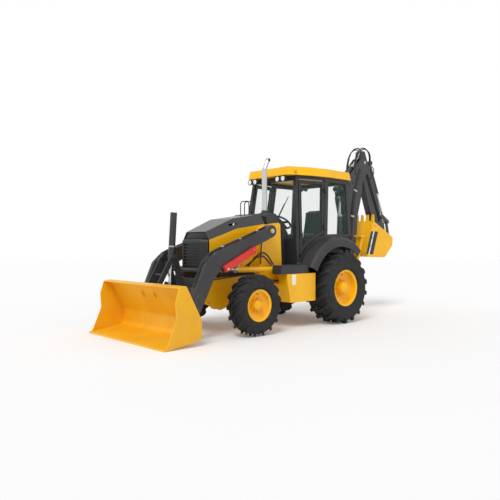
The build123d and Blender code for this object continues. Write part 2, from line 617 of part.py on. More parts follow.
# Knuckles: a yoke about the kingpin, the wheel's hub, and an arm under the steering rod's end
FRONT_HUB = FRONT_TRACK / 2 + FRONT_DISC - RUNNING_GAP
YOKE_PLATE = 25.0
YOKE_LOW = FRONT_AXLE[1] - KINGPIN_HALF - YOKE_PLATE - RUNNING_GAP
for name, sign in SIDES:
    with BuildPart() as knuckle:
        for z_low in (YOKE_LOW, FRONT_AXLE[1] + KINGPIN_HALF + RUNNING_GAP):
            block((WHEELBASE - 60, WHEELBASE + 60), both(sign, FRONT_KINGPIN_Y - 60, FRONT_KINGPIN_Y + 110),
                  (z_low, z_low + YOKE_PLATE))
        turned(FRONT_AXLE, [(0, 0), (0, 118), (FRONT_HUB - FRONT_KINGPIN_Y - 60, 118),
                            (FRONT_HUB - FRONT_KINGPIN_Y - 60, 0)], sign, FRONT_KINGPIN_Y + 60)
        block((WHEELBASE - STEERING_ARM - 30, WHEELBASE - 50), both(sign, FRONT_KINGPIN_Y - 30, FRONT_KINGPIN_Y + 70),
              (YOKE_LOW, YOKE_LOW + YOKE_PLATE))
        upright((WHEELBASE - STEERING_ARM, sign * (FRONT_KINGPIN_Y + 10)), 14, YOKE_LOW + 10,
                STEERING_ROD_Z - STEERING_ROD_RADIUS - RUNNING_GAP)
    save(knuckle, f"knuckle_{name}")

REAR_HUB = REAR_TRACK / 2 + REAR_DISC - RUNNING_GAP
with BuildPart() as rear_axle:
    for _, sign in SIDES:
        turned(REAR_AXLE, [(0, 0), (0, 215), (90, 205), (170, 130), (260, 95), (560, 90), (590, 130),
                           (REAR_HUB, 130), (REAR_HUB, 0)], sign, 0)
    block((-130, 130), (-FRAME_HALF + FRAME_PLATE, FRAME_HALF - FRAME_PLATE), (AXLE_SADDLE + 60, 940))
save(rear_axle, "rear_axle")

# Wheels, as (end of the machine, axle, track, tyre radius, tyre width, rim radius, disc offset,
#             lugs in a row, lug height, lug width round the tread)
WHEELS = (
    ("front", FRONT_AXLE, FRONT_TRACK, FRONT_TYRE_RADIUS, FRONT_TYRE_WIDTH, FRONT_RIM_RADIUS, FRONT_DISC, 16, 26.0, 56.0),
    ("rear", REAR_AXLE, REAR_TRACK, REAR_TYRE_RADIUS, REAR_TYRE_WIDTH, REAR_RIM_RADIUS, REAR_DISC, 18, 36.0, 74.0),
)
SHOULDER = 50.0               # a lug's shoulder, across and down
BEAD_SEAT = 0.05              # tyre's facets stand this far off the rim's seat


def toothed(lugs, outward, top, valley, half_turn, lag):
    """Outline of one row of lugs at a distance outward: four corners to a lug, as (outward, radius, angle)."""
    pitch = 360 / lugs
    corners = []
    for lug in range(lugs):
        middle = (lug + lag) * pitch
        corners += [(outward, valley, middle - half_turn), (outward, top, middle - half_turn * 0.8),
                    (outward, top, middle + half_turn * 0.8), (outward, valley, middle + half_turn)]
    return corners


def plain(lugs, outward, radius):
    """Polygon about the axle with two corners to a lug, its flats at the radius."""
    return [(outward, radius / cos(radians(90 / lugs)), corner * 180 / lugs) for corner in range(2 * lugs)]


def strips(first, second):
    """Triangles between two rings of corners; a toothed ring has four corners to a lug and a plain one two."""
    count = len(first)
    if len(second) == count:
        for i in range(count):
            j = (i + 1) % count
            yield first[i], first[j], second[j]
            yield first[i], second[j], second[i]
    else:
        lugs = count // 4
        shift = round((first[0][2] + first[3][2]) / 2 / (180 / lugs))
        for lug in range(lugs):
            v = first[4 * lug:4 * lug + 4]
            ahead = first[(4 * lug + 4) % count]
            under, beside, following = (second[(2 * lug + shift + step) % (2 * lugs)] for step in (0, 1, 2))
            yield v[0], v[1], under
            yield v[1], v[2], under
            yield v[2], v[3], under
            yield v[3], beside, under
            yield v[3], ahead, beside
            yield ahead, following, beside


def tyre_half(axle, track, sign, row, radius, width, rim, lugs, lug_height, lug_width):
    """One half of a lugged tyre, all in flat facets, from its middle to its bead."""
    half_turn = lug_width / 2 / radius * 180 / 3.14159265
    tread = radius - lug_height
    bead = width / 2 - 48
    lead = (1 - row) / 4
    crown = toothed(lugs, 0, radius, tread, half_turn, lead)
    edge = toothed(lugs, width / 2 - SHOULDER, radius, tread, half_turn, lead + row / 2)
    shoulder = toothed(lugs, width / 2 - 3, radius - SHOULDER, tread - SHOULDER, half_turn * 1.1, lead + row / 2)
    bulge = plain(lugs, width / 2, rim + 0.45 * (radius - rim))
    lip = plain(lugs, width / 2 - 20, rim + 44)
    bead_top = plain(lugs, bead, rim + 26)
    bead_foot = plain(lugs, bead, rim + BEAD_SEAT)
    middle = plain(lugs, 0, rim + BEAD_SEAT)
    faces = []
    for first, second, flip in ((crown, edge, 1), (edge, shoulder, 1), (shoulder, bulge, 1), (bulge, lip, 1),
                                (lip, bead_top, 1), (bead_top, bead_foot, 1), (bead_foot, middle, 1), (crown, middle, -1)):
        for triangle in strips(first, second):
            corners = [Vector(REAR_AXLE_X + axle[0] + r * cos(radians(turn)), sign * (track / 2 + row * outward),
                              axle[1] + r * sin(radians(turn))) for outward, r, turn in triangle]
            if flip * sign * row > 0:
                corners.reverse()
            faces.append(Face(Wire.make_polygon(corners)))
    return Solid(Shell(faces))


for end, axle, track, radius, width, rim, disc, lugs, lug_height, lug_width in WHEELS:
    half = width / 2 - 30
    for name, sign in SIDES:
        with BuildPart() as wheel_rim:
            turned(axle, [(-half, rim + 24), (-half + 10, rim + 24), (-half + 18, rim), (half - 18, rim),
                          (half - 10, rim + 24), (half, rim + 24), (half, rim + 14), (half - 14, rim - 12),
                          (-half + 14, rim - 12), (-half, rim + 14)], sign, track / 2)
            turned(axle, [(disc + 40, rim - 6), (disc + 52, rim - 6), (disc + 12, rim * 0.55), (disc + 12, 0),
                          (disc, 0), (disc, rim * 0.55)], sign, track / 2)
            turned(axle, [(disc + 10, 0), (disc + 10, rim * 0.4), (half - 30, rim * 0.34), (half - 12, rim * 0.22),
                          (half - 12, 0)], sign, track / 2)
        save(wheel_rim, f"rim_{end}_{name}")
        with BuildPart() as tyre:
            for row in (1, -1):
                add(tyre_half(axle, track, sign, row, radius, width, rim, lugs, lug_height, lug_width))
        save(tyre, f"tyre_{end}_{name}")

# Loader arms: two cranked arms joined by an upper tube and the lever's lower tube
ARM_OUTLINE = [(1560, 1752, 20), (2086, 1548), (2770, 1312, 140), (2972, 1139, 120), (3190, 640), (3285, 300, 60),
               (3235, 215, 50), (3140, 290, 40), (2985, 575), (2821, 885, 60), (2637, 1085), (2086, 1349), (1560, 1556, 20)]
LUG_PLATE = 22.0
LIFT_EYE_RELIEF = 66.0        # room in the arm's lower edge for the rod's eye
FOOT_NEAR = 46.0              # lugs of the bucket cylinder's foot, each side of its rod's eye
with BuildPart() as loader_arms:
    for _, sign in SIDES:
        plate(ARM_OUTLINE, *both(sign, ARM_INNER, ARM_OUTER))
        boss(LOADER_PIVOT, 100, *both(sign, ARM_INNER, ARM_OUTER))
        boss(LIFT_EYE, LIFT_EYE_RELIEF, *both(sign, LIFT_CYLINDER_Y - EYE_HALF - SIDE_GAP, LIFT_CYLINDER_Y + EYE_HALF + SIDE_GAP),
             mode=Mode.SUBTRACT)
        for near in (LIFT_CYLINDER_Y - EYE_HALF - SIDE_GAP - LUG_PLATE, LIFT_CYLINDER_Y + EYE_HALF + SIDE_GAP):
            bar(LIFT_EYE, (LIFT_EYE[0] + 20, 1150), 48, 60, *both(sign, near, near + LUG_PLATE))
            boss(LIFT_EYE, PIN_RADIUS, *both(sign, near, near + LUG_PLATE))
    boss(CROSS_TUBE, CROSS_TUBE_RADIUS, -ARM_INNER - 20, ARM_INNER + 20)
    block((2860, 2885), (-FOOT_NEAR - LUG_PLATE, FOOT_NEAR + LUG_PLATE), (680, 790))
    for _, sign in SIDES:
        boss(LEVER_PIN, LEVER_TUBE_RADIUS, *both(sign, FOOT_NEAR, ARM_INNER + 20))
        bar(LEVER_PIN, TILT_FOOT, 50, 45, *both(sign, FOOT_NEAR, FOOT_NEAR + LUG_PLATE))
        bar(LEVER_PIN, (2875, 735), 50, 45, *both(sign, FOOT_NEAR, FOOT_NEAR + LUG_PLATE))
        bar(CROSS_TUBE, (2800, 980), 45, 45, *both(sign, ARM_INNER - 10, ARM_INNER + 20))
        boss(LOADER_PIVOT, LOADER_PIVOT_RADIUS + RUNNING_GAP, *both(sign, ARM_INNER - 5, ARM_OUTER + 5), mode=Mode.SUBTRACT)
        boss(BUCKET_PIN, BUCKET_PIN_RADIUS + RUNNING_GAP, *both(sign, ARM_INNER - 5, ARM_OUTER + 5), mode=Mode.SUBTRACT)
save(loader_arms, "loader_arms")

with BuildPart() as boom_lock:
    plate([(2648, 1096, 12), (2600, 1002, 12), (1975, 1302, 12), (1990, 1410, 12)], ARM_OUTER, ARM_OUTER + 50)
save(boom_lock, "boom_lock")

# Lift cylinders; a rod starts well inside its barrel
LIFT_BARREL_LENGTH = 960.0
LIFT_ROD_START = 230.0
with BuildPart() as lift_barrels:
    for _, sign in SIDES:
        y = sign * LIFT_CYLINDER_Y
        boss(LIFT_BASE, 55, y - EYE_HALF, y + EYE_HALF)
        round_bar(along(LIFT_BASE, LIFT_EYE, 45), along(LIFT_BASE, LIFT_EYE, LIFT_BARREL_LENGTH), LIFT_BARREL_RADIUS, y)
        boss(LIFT_BASE, PIN_RADIUS + RUNNING_GAP, y - 40, y + 40, mode=Mode.SUBTRACT)
        round_bar(along(LIFT_BASE, LIFT_EYE, 150), along(LIFT_BASE, LIFT_EYE, LIFT_BARREL_LENGTH + 10),
                  LIFT_ROD_RADIUS + RUNNING_GAP, y, mode=Mode.SUBTRACT)
save(lift_barrels, "lift_barrels")

with BuildPart() as lift_rods:
    for _, sign in SIDES:
        y = sign * LIFT_CYLINDER_Y
        round_bar(along(LIFT_BASE, LIFT_EYE, LIFT_ROD_START), along(LIFT_BASE, LIFT_EYE, span(LIFT_BASE, LIFT_EYE) - 40),
                  LIFT_ROD_RADIUS, y)
        boss(LIFT_EYE, 46, y - EYE_HALF, y + EYE_HALF)
save(lift_rods, "lift_rods")

# Loader bucket's lever, link and cylinder, in the middle between the arms
TRUNNION_RADIUS = 26.0
with BuildPart() as tilt_lever:
    for _, sign in SIDES:
        plates = both(sign, LEVER_NEAR, LEVER_NEAR + LEVER_PLATE)
        bar(LEVER_PIN, LEVER_TRUNNION, 58, 48, *plates)
        bar(LEVER_TRUNNION, LEVER_TOP, 48, 44, *plates)
        boss(LEVER_TRUNNION, TRUNNION_RADIUS, *both(sign, TILT_BARREL_RADIUS - 8, LEVER_NEAR + 5))
        boss(LEVER_TOP, TRUNNION_RADIUS, *both(sign, LEVER_NEAR, EAR_NEAR))
        boss(LEVER_PIN, LEVER_TUBE_RADIUS + RUNNING_GAP, *both(sign, LEVER_NEAR - 5, EAR_NEAR), mode=Mode.SUBTRACT)
save(tilt_lever, "tilt_lever")

with BuildPart() as tilt_link:
    for _, sign in SIDES:
        plates = both(sign, LINK_NEAR, LINK_NEAR + LEVER_PLATE)
        bar(LEVER_TOP, BUCKET_EAR_PIN, 42, 40, *plates)
        boss(LEVER_TOP, TRUNNION_RADIUS + RUNNING_GAP, *both(sign, LINK_NEAR - 5, LINK_NEAR + LEVER_PLATE + 5), mode=Mode.SUBTRACT)
    middle = along(LEVER_TOP, BUCKET_EAR_PIN, span(LEVER_TOP, BUCKET_EAR_PIN) * 0.62)
    boss(middle, 18, -LINK_NEAR - 5, LINK_NEAR + 5)
save(tilt_link, "tilt_link")

TILT_START = along(LEVER_TRUNNION, TILT_FOOT, -TILT_TOP)
TILT_END = along(LEVER_TRUNNION, TILT_FOOT, 120)
with BuildPart() as tilt_barrel:
    round_bar(TILT_START, TILT_END, TILT_BARREL_RADIUS)
    boss(LEVER_TRUNNION, 46, -60, 60)
    round_bar(along(LEVER_TRUNNION, TILT_FOOT, -TILT_TOP + 60), along(LEVER_TRUNNION, TILT_FOOT, 130),
              TILT_ROD_RADIUS + RUNNING_GAP, mode=Mode.SUBTRACT)
    for _, sign in SIDES:
        boss(LEVER_TRUNNION, TRUNNION_RADIUS + RUNNING_GAP, *both(sign, TILT_BARREL_RADIUS - 8 - RUNNING_GAP, 65),
             mode=Mode.SUBTRACT)
save(tilt_barrel, "tilt_barrel")

with BuildPart() as tilt_rod:
    round_bar(along(LEVER_TRUNNION, TILT_FOOT, -200), along(LEVER_TRUNNION, TILT_FOOT, span(LEVER_TRUNNION, TILT_FOOT) - 35),
              TILT_ROD_RADIUS)
    boss(TILT_FOOT, 42, -38, 38)
save(tilt_rod, "tilt_rod")

# Loader bucket: a curved sheet between two side plates, with its cutting edge and ears
BUCKET_OUTER = [(3935, 2), (3303, 88, 90), (3307, 371, 90), (3569, 855), (3680, 838)]
BUCKET_INNER = [(3960, 20), (3322, 104, 76), (3324, 364, 76), (3578, 841), (3700, 823), (3990, 600)]
BUCKET_SIDE = [(3905, 8), (3303, 88, 90), (3307, 371, 90), (3569, 855), (3680, 838, 20), (3688, 500, 60), (3862, 80, 20)]
EDGE_HOLES = 7                # for a bolted wear edge
EDGE_HOLE_X = 3860.0
EDGE_HOLE_SPACING = 304.8
EDGE_HOLE_RADIUS = 9.5
with BuildPart() as loader_bucket:
    half_width = BUCKET_WIDTH / 2 - 4
    plate(BUCKET_OUTER, -half_width, half_width)
    plate(BUCKET_INNER, -half_width + BUCKET_WALL, half_width - BUCKET_WALL, mode=Mode.SUBTRACT)
    plate([(3700, 36), (3760, 900), (4100, 700), (4100, 20), (3960, 30)], -half_width - 5, half_width + 5, mode=Mode.SUBTRACT)
    for _, sign in SIDES:
        plate(BUCKET_SIDE, *both(sign, half_width - BUCKET_WALL, half_width))
        for inner_face in (ARM_INNER - SIDE_GAP - 25, ARM_OUTER + SIDE_GAP):
            plate([(3215, 225, 30), (3330, 110), (3330, 560), (3270, 370), (3215, 345, 30), (3155, 285, 40)],
                  *both(sign, inner_face, inner_face + 25))
        boss(BUCKET_PIN, BUCKET_PIN_RADIUS, *both(sign, ARM_INNER - SIDE_GAP - 25, ARM_OUTER + SIDE_GAP + 40))
        ear = both(sign, EAR_NEAR, EAR_NEAR + LEVER_PLATE + 4)
        bar(BUCKET_EAR_PIN, (3440, 700), 44, 80, *ear)
        bar(BUCKET_EAR_PIN, (3540, 830), 44, 22, *ear)
        boss(BUCKET_EAR_PIN, TRUNNION_RADIUS, *ear)
    plate([(LOADER_REACH, 0), (LOADER_REACH, 8), (3915, CUTTING_EDGE + 2), (3690, CUTTING_EDGE + 32), (3690, 34)],
          -BUCKET_WIDTH / 2, BUCKET_WIDTH / 2)
    with BuildSketch(level(-10)) as edge_holes:
        with Locations((EDGE_HOLE_X, 0)):
            with GridLocations(0, EDGE_HOLE_SPACING, 1, EDGE_HOLES):
                Circle(EDGE_HOLE_RADIUS)
    extrude(edge_holes.sketch, amount=100, mode=Mode.SUBTRACT)
save(loader_bucket, "loader_bucket")

# Backhoe's rear frame with the stabilizers' forks
JAWS = ((540.0, 620.0), (980.0, 1060.0))
HOE_FRAME_REAR = -760.0
JAW_HALF = 95.0
JAW_ROOT = 260.0
CARRIAGE_PLATE = 30.0
fork_faces = ((HOE_FRAME_REAR + 3, STABILIZER_X - STABILIZER_THICK / 2 - SIDE_GAP),
              (STABILIZER_X + STABILIZER_THICK / 2 + SIDE_GAP, -650.0))
HOE_FRAME_HALF = 470.0
with BuildPart() as hoe_frame:
    block((HOE_FRAME_REAR, FRAME_REAR), (-HOE_FRAME_HALF, HOE_FRAME_HALF), (440, 1200))
    for _, sign in SIDES:
        boss(TIE_DOWN_REAR, TIE_DOWN_RADIUS, *both(sign, HOE_FRAME_HALF - TIE_DOWN_DEPTH, HOE_FRAME_HALF + 5), mode=Mode.SUBTRACT)
        for x_low, x_high in fork_faces:
            with BuildSketch(facing(x_low)) as ear:
                with Locations((sign * STABILIZER_PIVOT[0], STABILIZER_PIVOT[1])):
                    Circle(55)
                with Locations((sign * 450, STABILIZER_PIVOT[1] + 20)):
                    Rectangle(40, 110)
                make_hull()
            extrude(ear.sketch, amount=x_high - x_low)
        with BuildSketch(facing(fork_faces[0][0])) as pin:
            with Locations((sign * STABILIZER_PIVOT[0], STABILIZER_PIVOT[1])):
                Circle(PIN_RADIUS)
        extrude(pin.sketch, amount=fork_faces[1][1] - fork_faces[0][0])
save(hoe_frame, "hoe_frame")

# Carriage on that frame's rear face, with the two jaws that hold the king pin
CARRIAGE_FACE = HOE_FRAME_REAR - RUNNING_GAP
with BuildPart() as swing_carriage:
    block((CARRIAGE_FACE - CARRIAGE_PLATE, CARRIAGE_FACE), (-JAW_ROOT, JAW_ROOT), (JAWS[0][0], JAWS[1][1]))
    for z_low, z_high in JAWS:
        with BuildSketch(level(z_low)) as jaw:
            with BuildLine():
                Polyline((CARRIAGE_FACE, -JAW_ROOT), (CARRIAGE_FACE, JAW_ROOT), (-888, JAW_HALF), (SWING_X, JAW_HALF),
                         (SWING_X, -JAW_HALF), (-888, -JAW_HALF), close=True)
            make_face()
            with Locations((SWING_X, 0)):
                Circle(JAW_HALF)
        extrude(jaw.sketch, amount=z_high - z_low)
    upright((SWING_X, 0), KING_PIN_RADIUS + RUNNING_GAP, JAWS[0][0] - 10, JAWS[1][1] + 10, mode=Mode.SUBTRACT)
save(swing_carriage, "swing_carriage")

# Swing casting: king pin, the body between the jaws, and two plates that carry the boom and its cylinder
BOOM_CYLINDER_BASE = (-1120.0, 1180.0)
CASTING_NEAR = HOE_HALF + SIDE_GAP
CASTING_PLATE = 28.0
with BuildPart() as swing_post:
    upright((SWING_X, 0), KING_PIN_RADIUS, 500, 1100)
    upright((SWING_X, 0), 105, JAWS[0][1] + SIDE_GAP, JAWS[1][0] - SIDE_GAP)
    block((-1145, -1085), (-CASTING_NEAR - CASTING_PLATE, CASTING_NEAR + CASTING_PLATE), (650, JAWS[1][0] - SIDE_GAP))
    for _, sign in SIDES:
        plates = both(sign, CASTING_NEAR, CASTING_NEAR + CASTING_PLATE)
        plate([(-1090, 640), (-1090, JAWS[1][0] - 10), (-1155, JAWS[1][0] - 10), (-1155, JAWS[1][1] + 14),
               (-1070, JAWS[1][1] + 14), (-1065, 1225, 50), (-1175, 1240, 50), (-1340, 800, 50), (-1320, 690, 60),
               (-1240, 640)], *plates)
        boss(BOOM_PIN, 34, *both(sign, HOE_HALF - 40, CASTING_NEAR + CASTING_PLATE))
    boss(BOOM_CYLINDER_BASE, CYLINDER_PIN_RADIUS, -CASTING_NEAR - 5, CASTING_NEAR + 5)
save(swing_post, "swing_post")

# Boom: two side plates with a rear web and a solid foot, open to the front where its cylinders lie
DIPPER_CYLINDER_BASE = (-1130.0, 2620.0)
BOOM_EYE = (-1190.0, 2440.0)
BOOM_OUTLINE = [(-1180, 700, 60), (-1215, 1000), (-1235, 1570), (-1255, 2050), (-1150, 2420, 40), (-1175, 2540, 60), (-1400, 2930),
                (-1790, 3330, 60), (-1960, 3330, 80), (-2000, 3200, 80), (-1835, 2900), (-1775, 2520, 200), (-1630, 2050),
                (-1585, 1570), (-1420, 860), (-1330, 690, 60)]
BOOM_HOLLOW = [(-1100, 1130), (-1460, 1130), (-1560, 1570), (-1605, 2050), (-1745, 2500), (-1795, 2830), (-2300, 2830),
               (-2300, 3500), (-1100, 3500)]
DIPPER_PIN_RADIUS = 30.0
with BuildPart() as hoe_boom:
    plate(BOOM_OUTLINE, -HOE_HALF, HOE_HALF)
    plate(BOOM_HOLLOW, -HOE_HALF + BOOM_PLATE, HOE_HALF - BOOM_PLATE, mode=Mode.SUBTRACT)
    boss(BOOM_PIN, 34 + RUNNING_GAP, -HOE_HALF - 5, HOE_HALF + 5, mode=Mode.SUBTRACT)
    for _, sign in SIDES:
        boss(DIPPER_PIN, 80, *both(sign, DIPPER_HALF + SIDE_GAP, HOE_HALF - 5))
        bar((-1270, 2660), DIPPER_CYLINDER_BASE, 70, 48, *both(sign, 60, HOE_HALF))
        boss(BOOM_EYE, CYLINDER_PIN_RADIUS, *both(sign, EYE_HALF + SIDE_GAP, HOE_HALF - 5))
    boss(DIPPER_PIN, DIPPER_PIN_RADIUS, -HOE_HALF, HOE_HALF)
    boss(DIPPER_CYLINDER_BASE, CYLINDER_PIN_RADIUS, -65, 65)
save(hoe_boom, "hoe_boom")

# Dipper: a box beam, forked at its top for the crowd cylinder's eye
BUCKET_CYLINDER_BASE = (-2200.0, 3270.0)
DIPPER_EYE = (-1880.0, 3440.0)
DIPPER_OUTLINE = [(-1800, 3300), (-1825, 3485, 40), (-1950, 3500, 40), (-2090, 3200), (-2290, 2870), (-2722, 1765, 30),
                  (-2670, 1660, 30), (-2600, 1682, 20), (-2200, 2110), (-1850, 2950)]
with BuildPart() as hoe_dipper:
    plate(DIPPER_OUTLINE, -DIPPER_HALF, DIPPER_HALF)
    plate([(-1700, 3260), (-1800, 3285), (-1860, 3335), (-2050, 3335), (-2050, 3600), (-1700, 3600)], -EYE_HALF - SIDE_GAP, EYE_HALF + SIDE_GAP,
          mode=Mode.SUBTRACT)
    boss(DIPPER_PIN, DIPPER_PIN_RADIUS + RUNNING_GAP, -DIPPER_HALF - 5, DIPPER_HALF + 5, mode=Mode.SUBTRACT)
    boss(HOE_BUCKET_PIN, PIN_RADIUS + RUNNING_GAP, -DIPPER_HALF - 5, DIPPER_HALF + 5, mode=Mode.SUBTRACT)
    for _, sign in SIDES:
        bar((-2090, 3170), BUCKET_CYLINDER_BASE, 70, 46, *both(sign, 50, DIPPER_HALF))
    boss(BUCKET_CYLINDER_BASE, CYLINDER_PIN_RADIUS, -DIPPER_HALF, DIPPER_HALF)
    boss(ROCKER_PIN, PIN_RADIUS, -DIPPER_HALF - 36, DIPPER_HALF + 36)
save(hoe_dipper, "hoe_dipper")

# Backhoe bucket: a curved sheet with two side plates, ears for its pins and five teeth
EAR_FACE = DIPPER_HALF + SIDE_GAP
HOE_BUCKET_OUTER = [(-1945, 1960), (-1660, 1190, 90), (-2390, 1165, 150), (-2690, 1440, 60), (-2690, 1610, 30), (-2600, 1665)]
HOE_BUCKET_INNER = [(-1965, 1990), (-1682, 1204, 78), (-2384, 1180, 140), (-2676, 1446, 50), (-2676, 1570, 20), (-2560, 1640),
                    (-2300, 1950)]
TEETH = 5
with BuildPart() as hoe_bucket:
    plate(HOE_BUCKET_OUTER, -HOE_BUCKET_HALF, HOE_BUCKET_HALF)
    plate(HOE_BUCKET_INNER, -HOE_BUCKET_HALF + 16, HOE_BUCKET_HALF - 16, mode=Mode.SUBTRACT)
    for _, sign in SIDES:
        ear = both(sign, EAR_FACE, EAR_FACE + 30)
        plate([(-2560, 1640), (-2600, 1790, 40), (-2690, 1800, 40), (-2850, 1600), (-2975, 1585, 40), (-2990, 1490, 40),
               (-2690, 1440)], *ear)
        boss(HOE_LINK_PIN, CYLINDER_PIN_RADIUS, *both(sign, 66, EAR_FACE + 30))
    boss(HOE_BUCKET_PIN, PIN_RADIUS, -EAR_FACE - 40, EAR_FACE + 40)
    for tooth in range(TEETH):
        y = -HOE_BUCKET_HALF + 32 + tooth * (2 * HOE_BUCKET_HALF - 64) / (TEETH - 1)
        plate([(-1925, 1890), (-1960, 2100), (-1985, 2100), (-1995, 1960), (-1960, 1900)], y - 28, y + 28)
save(hoe_bucket, "hoe_bucket")


def meeting(first, first_radius, second, second_radius):
    """Rear point at two distances from two pins, in a side view."""
    distance = span(first, second)
    run = (distance ** 2 + first_radius ** 2 - second_radius ** 2) / (2 * distance)
    rise = (first_radius ** 2 - run ** 2) ** 0.5
    ux, uz = (second[0] - first[0]) / distance, (second[1] - first[1]) / distance
    return first[0] + run * ux + rise * uz, first[1] + run * uz - rise * ux


ROCKER_TOP = meeting(ROCKER_PIN, ROCKER_LENGTH, HOE_LINK_PIN, LINK_LENGTH)
LINK_FACE = EYE_HALF + SIDE_GAP + 2
LINK_PLATE = 20.0
with BuildPart() as hoe_rocker:
    for _, sign in SIDES:
        bar(ROCKER_PIN, ROCKER_TOP, 45, 42, *both(sign, EAR_FACE, EAR_FACE + 22))
        boss(ROCKER_PIN, PIN_RADIUS + RUNNING_GAP, *both(sign, EAR_FACE - 5, EAR_FACE + 27), mode=Mode.SUBTRACT)
        boss(ROCKER_TOP, CYLINDER_PIN_RADIUS, *both(sign, LINK_FACE - 2, EAR_FACE + 22))
save(hoe_rocker, "hoe_rocker")

with BuildPart() as hoe_link:
    for _, sign in SIDES:
        bar(ROCKER_TOP, HOE_LINK_PIN, 42, 42, *both(sign, LINK_FACE, LINK_FACE + LINK_PLATE))
        boss(ROCKER_TOP, CYLINDER_PIN_RADIUS + RUNNING_GAP, *both(sign, LINK_FACE - 5, LINK_FACE + LINK_PLATE + 5), mode=Mode.SUBTRACT)
    brace = along(HOE_LINK_PIN, ROCKER_TOP, 100)
    boss(brace, 25, -LINK_FACE - 5, LINK_FACE + 5)
save(hoe_link, "hoe_link")

# Backhoe cylinders, as (name, base pin, rod eye, barrel radius, rod radius, barrel length, rod start)
HOE_CYLINDERS = (
    ("boom", BOOM_CYLINDER_BASE, BOOM_EYE, 52.0, 26.0, 900.0, 300.0),
    ("dipper", DIPPER_CYLINDER_BASE, DIPPER_EYE, 50.0, 26.0, 700.0, 420.0),
    ("bucket", BUCKET_CYLINDER_BASE, ROCKER_TOP, 44.0, 24.0, 760.0, 660.0),
)
for name, base, eye, barrel_radius, rod_radius, barrel_length, rod_start in HOE_CYLINDERS:
    length = span(base, eye)
    with BuildPart() as barrel:
        boss(base, barrel_radius, -40, 40)
        round_bar(along(base, eye, 30), along(base, eye, barrel_length), barrel_radius)
        round_bar(along(base, eye, 55), along(base, eye, barrel_length + 10), rod_radius + RUNNING_GAP, mode=Mode.SUBTRACT)
        boss(base, CYLINDER_PIN_RADIUS + RUNNING_GAP, -60, 60, mode=Mode.SUBTRACT)
    save(barrel, f"{name}_barrel")
    with BuildPart() as rod:
        round_bar(along(base, eye, rod_start), along(base, eye, length - 30), rod_radius)
        boss(eye, 40, -EYE_HALF, EYE_HALF)
    save(rod, f"{name}_rod")

# Stabilizers, folded up beside the rear frame
for name, sign in SIDES:
    with BuildPart() as leg:
        with BuildSketch(facing(STABILIZER_X - STABILIZER_THICK / 2)) as arm:
            with Locations((sign * STABILIZER_PIVOT[0], STABILIZER_PIVOT[1])):
                Circle(58)
            with Locations((sign * STABILIZER_TIP[0], STABILIZER_TIP[1])):
                Circle(45)
            make_hull()
            with Locations((sign * STABILIZER_PIVOT[0], STABILIZER_PIVOT[1])):
                Circle(PIN_RADIUS + RUNNING_GAP, mode=Mode.SUBTRACT)
        extrude(arm.sketch, amount=STABILIZER_THICK)
        block((STABILIZER_X - 38, STABILIZER_X + 85), both(sign, STABILIZER_TIP[0] - 80, STABILIZER_TIP[0] + 80),
              (STABILIZER_TIP[1] + 30, STABILIZER_TIP[1] + 60))
    save(leg, f"stabilizer_{name}")
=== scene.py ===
"""Looks of the backhoe loader: paint, rubber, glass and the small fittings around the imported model, in metres."""
import json
import math
import bpy
from mathutils import Matrix, Vector


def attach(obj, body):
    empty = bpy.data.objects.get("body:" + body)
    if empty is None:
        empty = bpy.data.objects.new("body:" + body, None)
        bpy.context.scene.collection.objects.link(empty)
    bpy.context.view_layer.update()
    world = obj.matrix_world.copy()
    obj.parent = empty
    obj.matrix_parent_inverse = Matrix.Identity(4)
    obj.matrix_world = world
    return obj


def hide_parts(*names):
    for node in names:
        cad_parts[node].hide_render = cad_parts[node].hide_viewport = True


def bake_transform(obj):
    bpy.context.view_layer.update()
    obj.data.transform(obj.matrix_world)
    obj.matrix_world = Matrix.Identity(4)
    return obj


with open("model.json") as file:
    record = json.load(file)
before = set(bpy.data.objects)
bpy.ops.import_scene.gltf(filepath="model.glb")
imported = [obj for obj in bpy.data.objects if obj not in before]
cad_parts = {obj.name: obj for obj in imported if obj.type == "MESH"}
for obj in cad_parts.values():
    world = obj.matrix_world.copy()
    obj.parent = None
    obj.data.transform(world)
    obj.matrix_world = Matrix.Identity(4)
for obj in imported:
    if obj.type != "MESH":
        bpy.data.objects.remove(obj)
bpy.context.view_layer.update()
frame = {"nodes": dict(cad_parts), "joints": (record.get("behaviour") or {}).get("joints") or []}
NODES = frame["nodes"]
JOINTS = {joint["name"]: joint for joint in frame["joints"]}
SIDES = (("left", 1), ("right", -1))
REAR_AXLE = Vector(JOINTS["wheel_rear_left_spin"]["pos_m"])
ROCKER_TOP = (-2.8209, 1.9769)   # where the bucket cylinder's rod meets its rocker


def from_axle(x, y, z):
    """Point given ahead of the rear axle, left of the middle and above the ground."""
    return Vector((REAR_AXLE.x + x, y, z))


# Camera, at the photograph's place: eye height, a quarter turn to the machine's left front
EYE = (7.8515, 7.0513, 1.3854)
EYE_PITCH, EYE_TURN = 89.7234, 137.543   # degrees
LENS_MM, SENSOR_MM = 38.49, 36.0
scene = bpy.context.scene
camera_data = bpy.data.cameras.new("camera")
camera_data.lens = LENS_MM
camera_data.sensor_width = SENSOR_MM
camera_data.clip_end = 200.0
camera = bpy.data.objects.new("camera", camera_data)
camera.location = from_axle(*EYE)
camera.rotation_euler = (math.radians(EYE_PITCH), 0, math.radians(EYE_TURN))
scene.collection.objects.link(camera)
scene.camera = camera
scene.view_settings.view_transform = "Standard"


# Materials

YELLOW_HEX, YELLOW_DEEP = "FDBE00", "F6B200"
STRIPE_LEAN = 0.38               # the backhoe bucket's bands lean back by this much for each metre of height
STRIPE_MIDDLE = 1.718            # height at which the bands' places ahead of the rear axle are given
PARTING = ((1.45, 1.79), (2.06, 1.695), (2.6, 1.505))   # where the hood's lid meets its yellow sides, rear to front
MIX_AMOUNT, MIX_FIRST, MIX_SECOND, MIX_RESULT = 0, 6, 7, 2   # a Mix node's sockets when it mixes colours


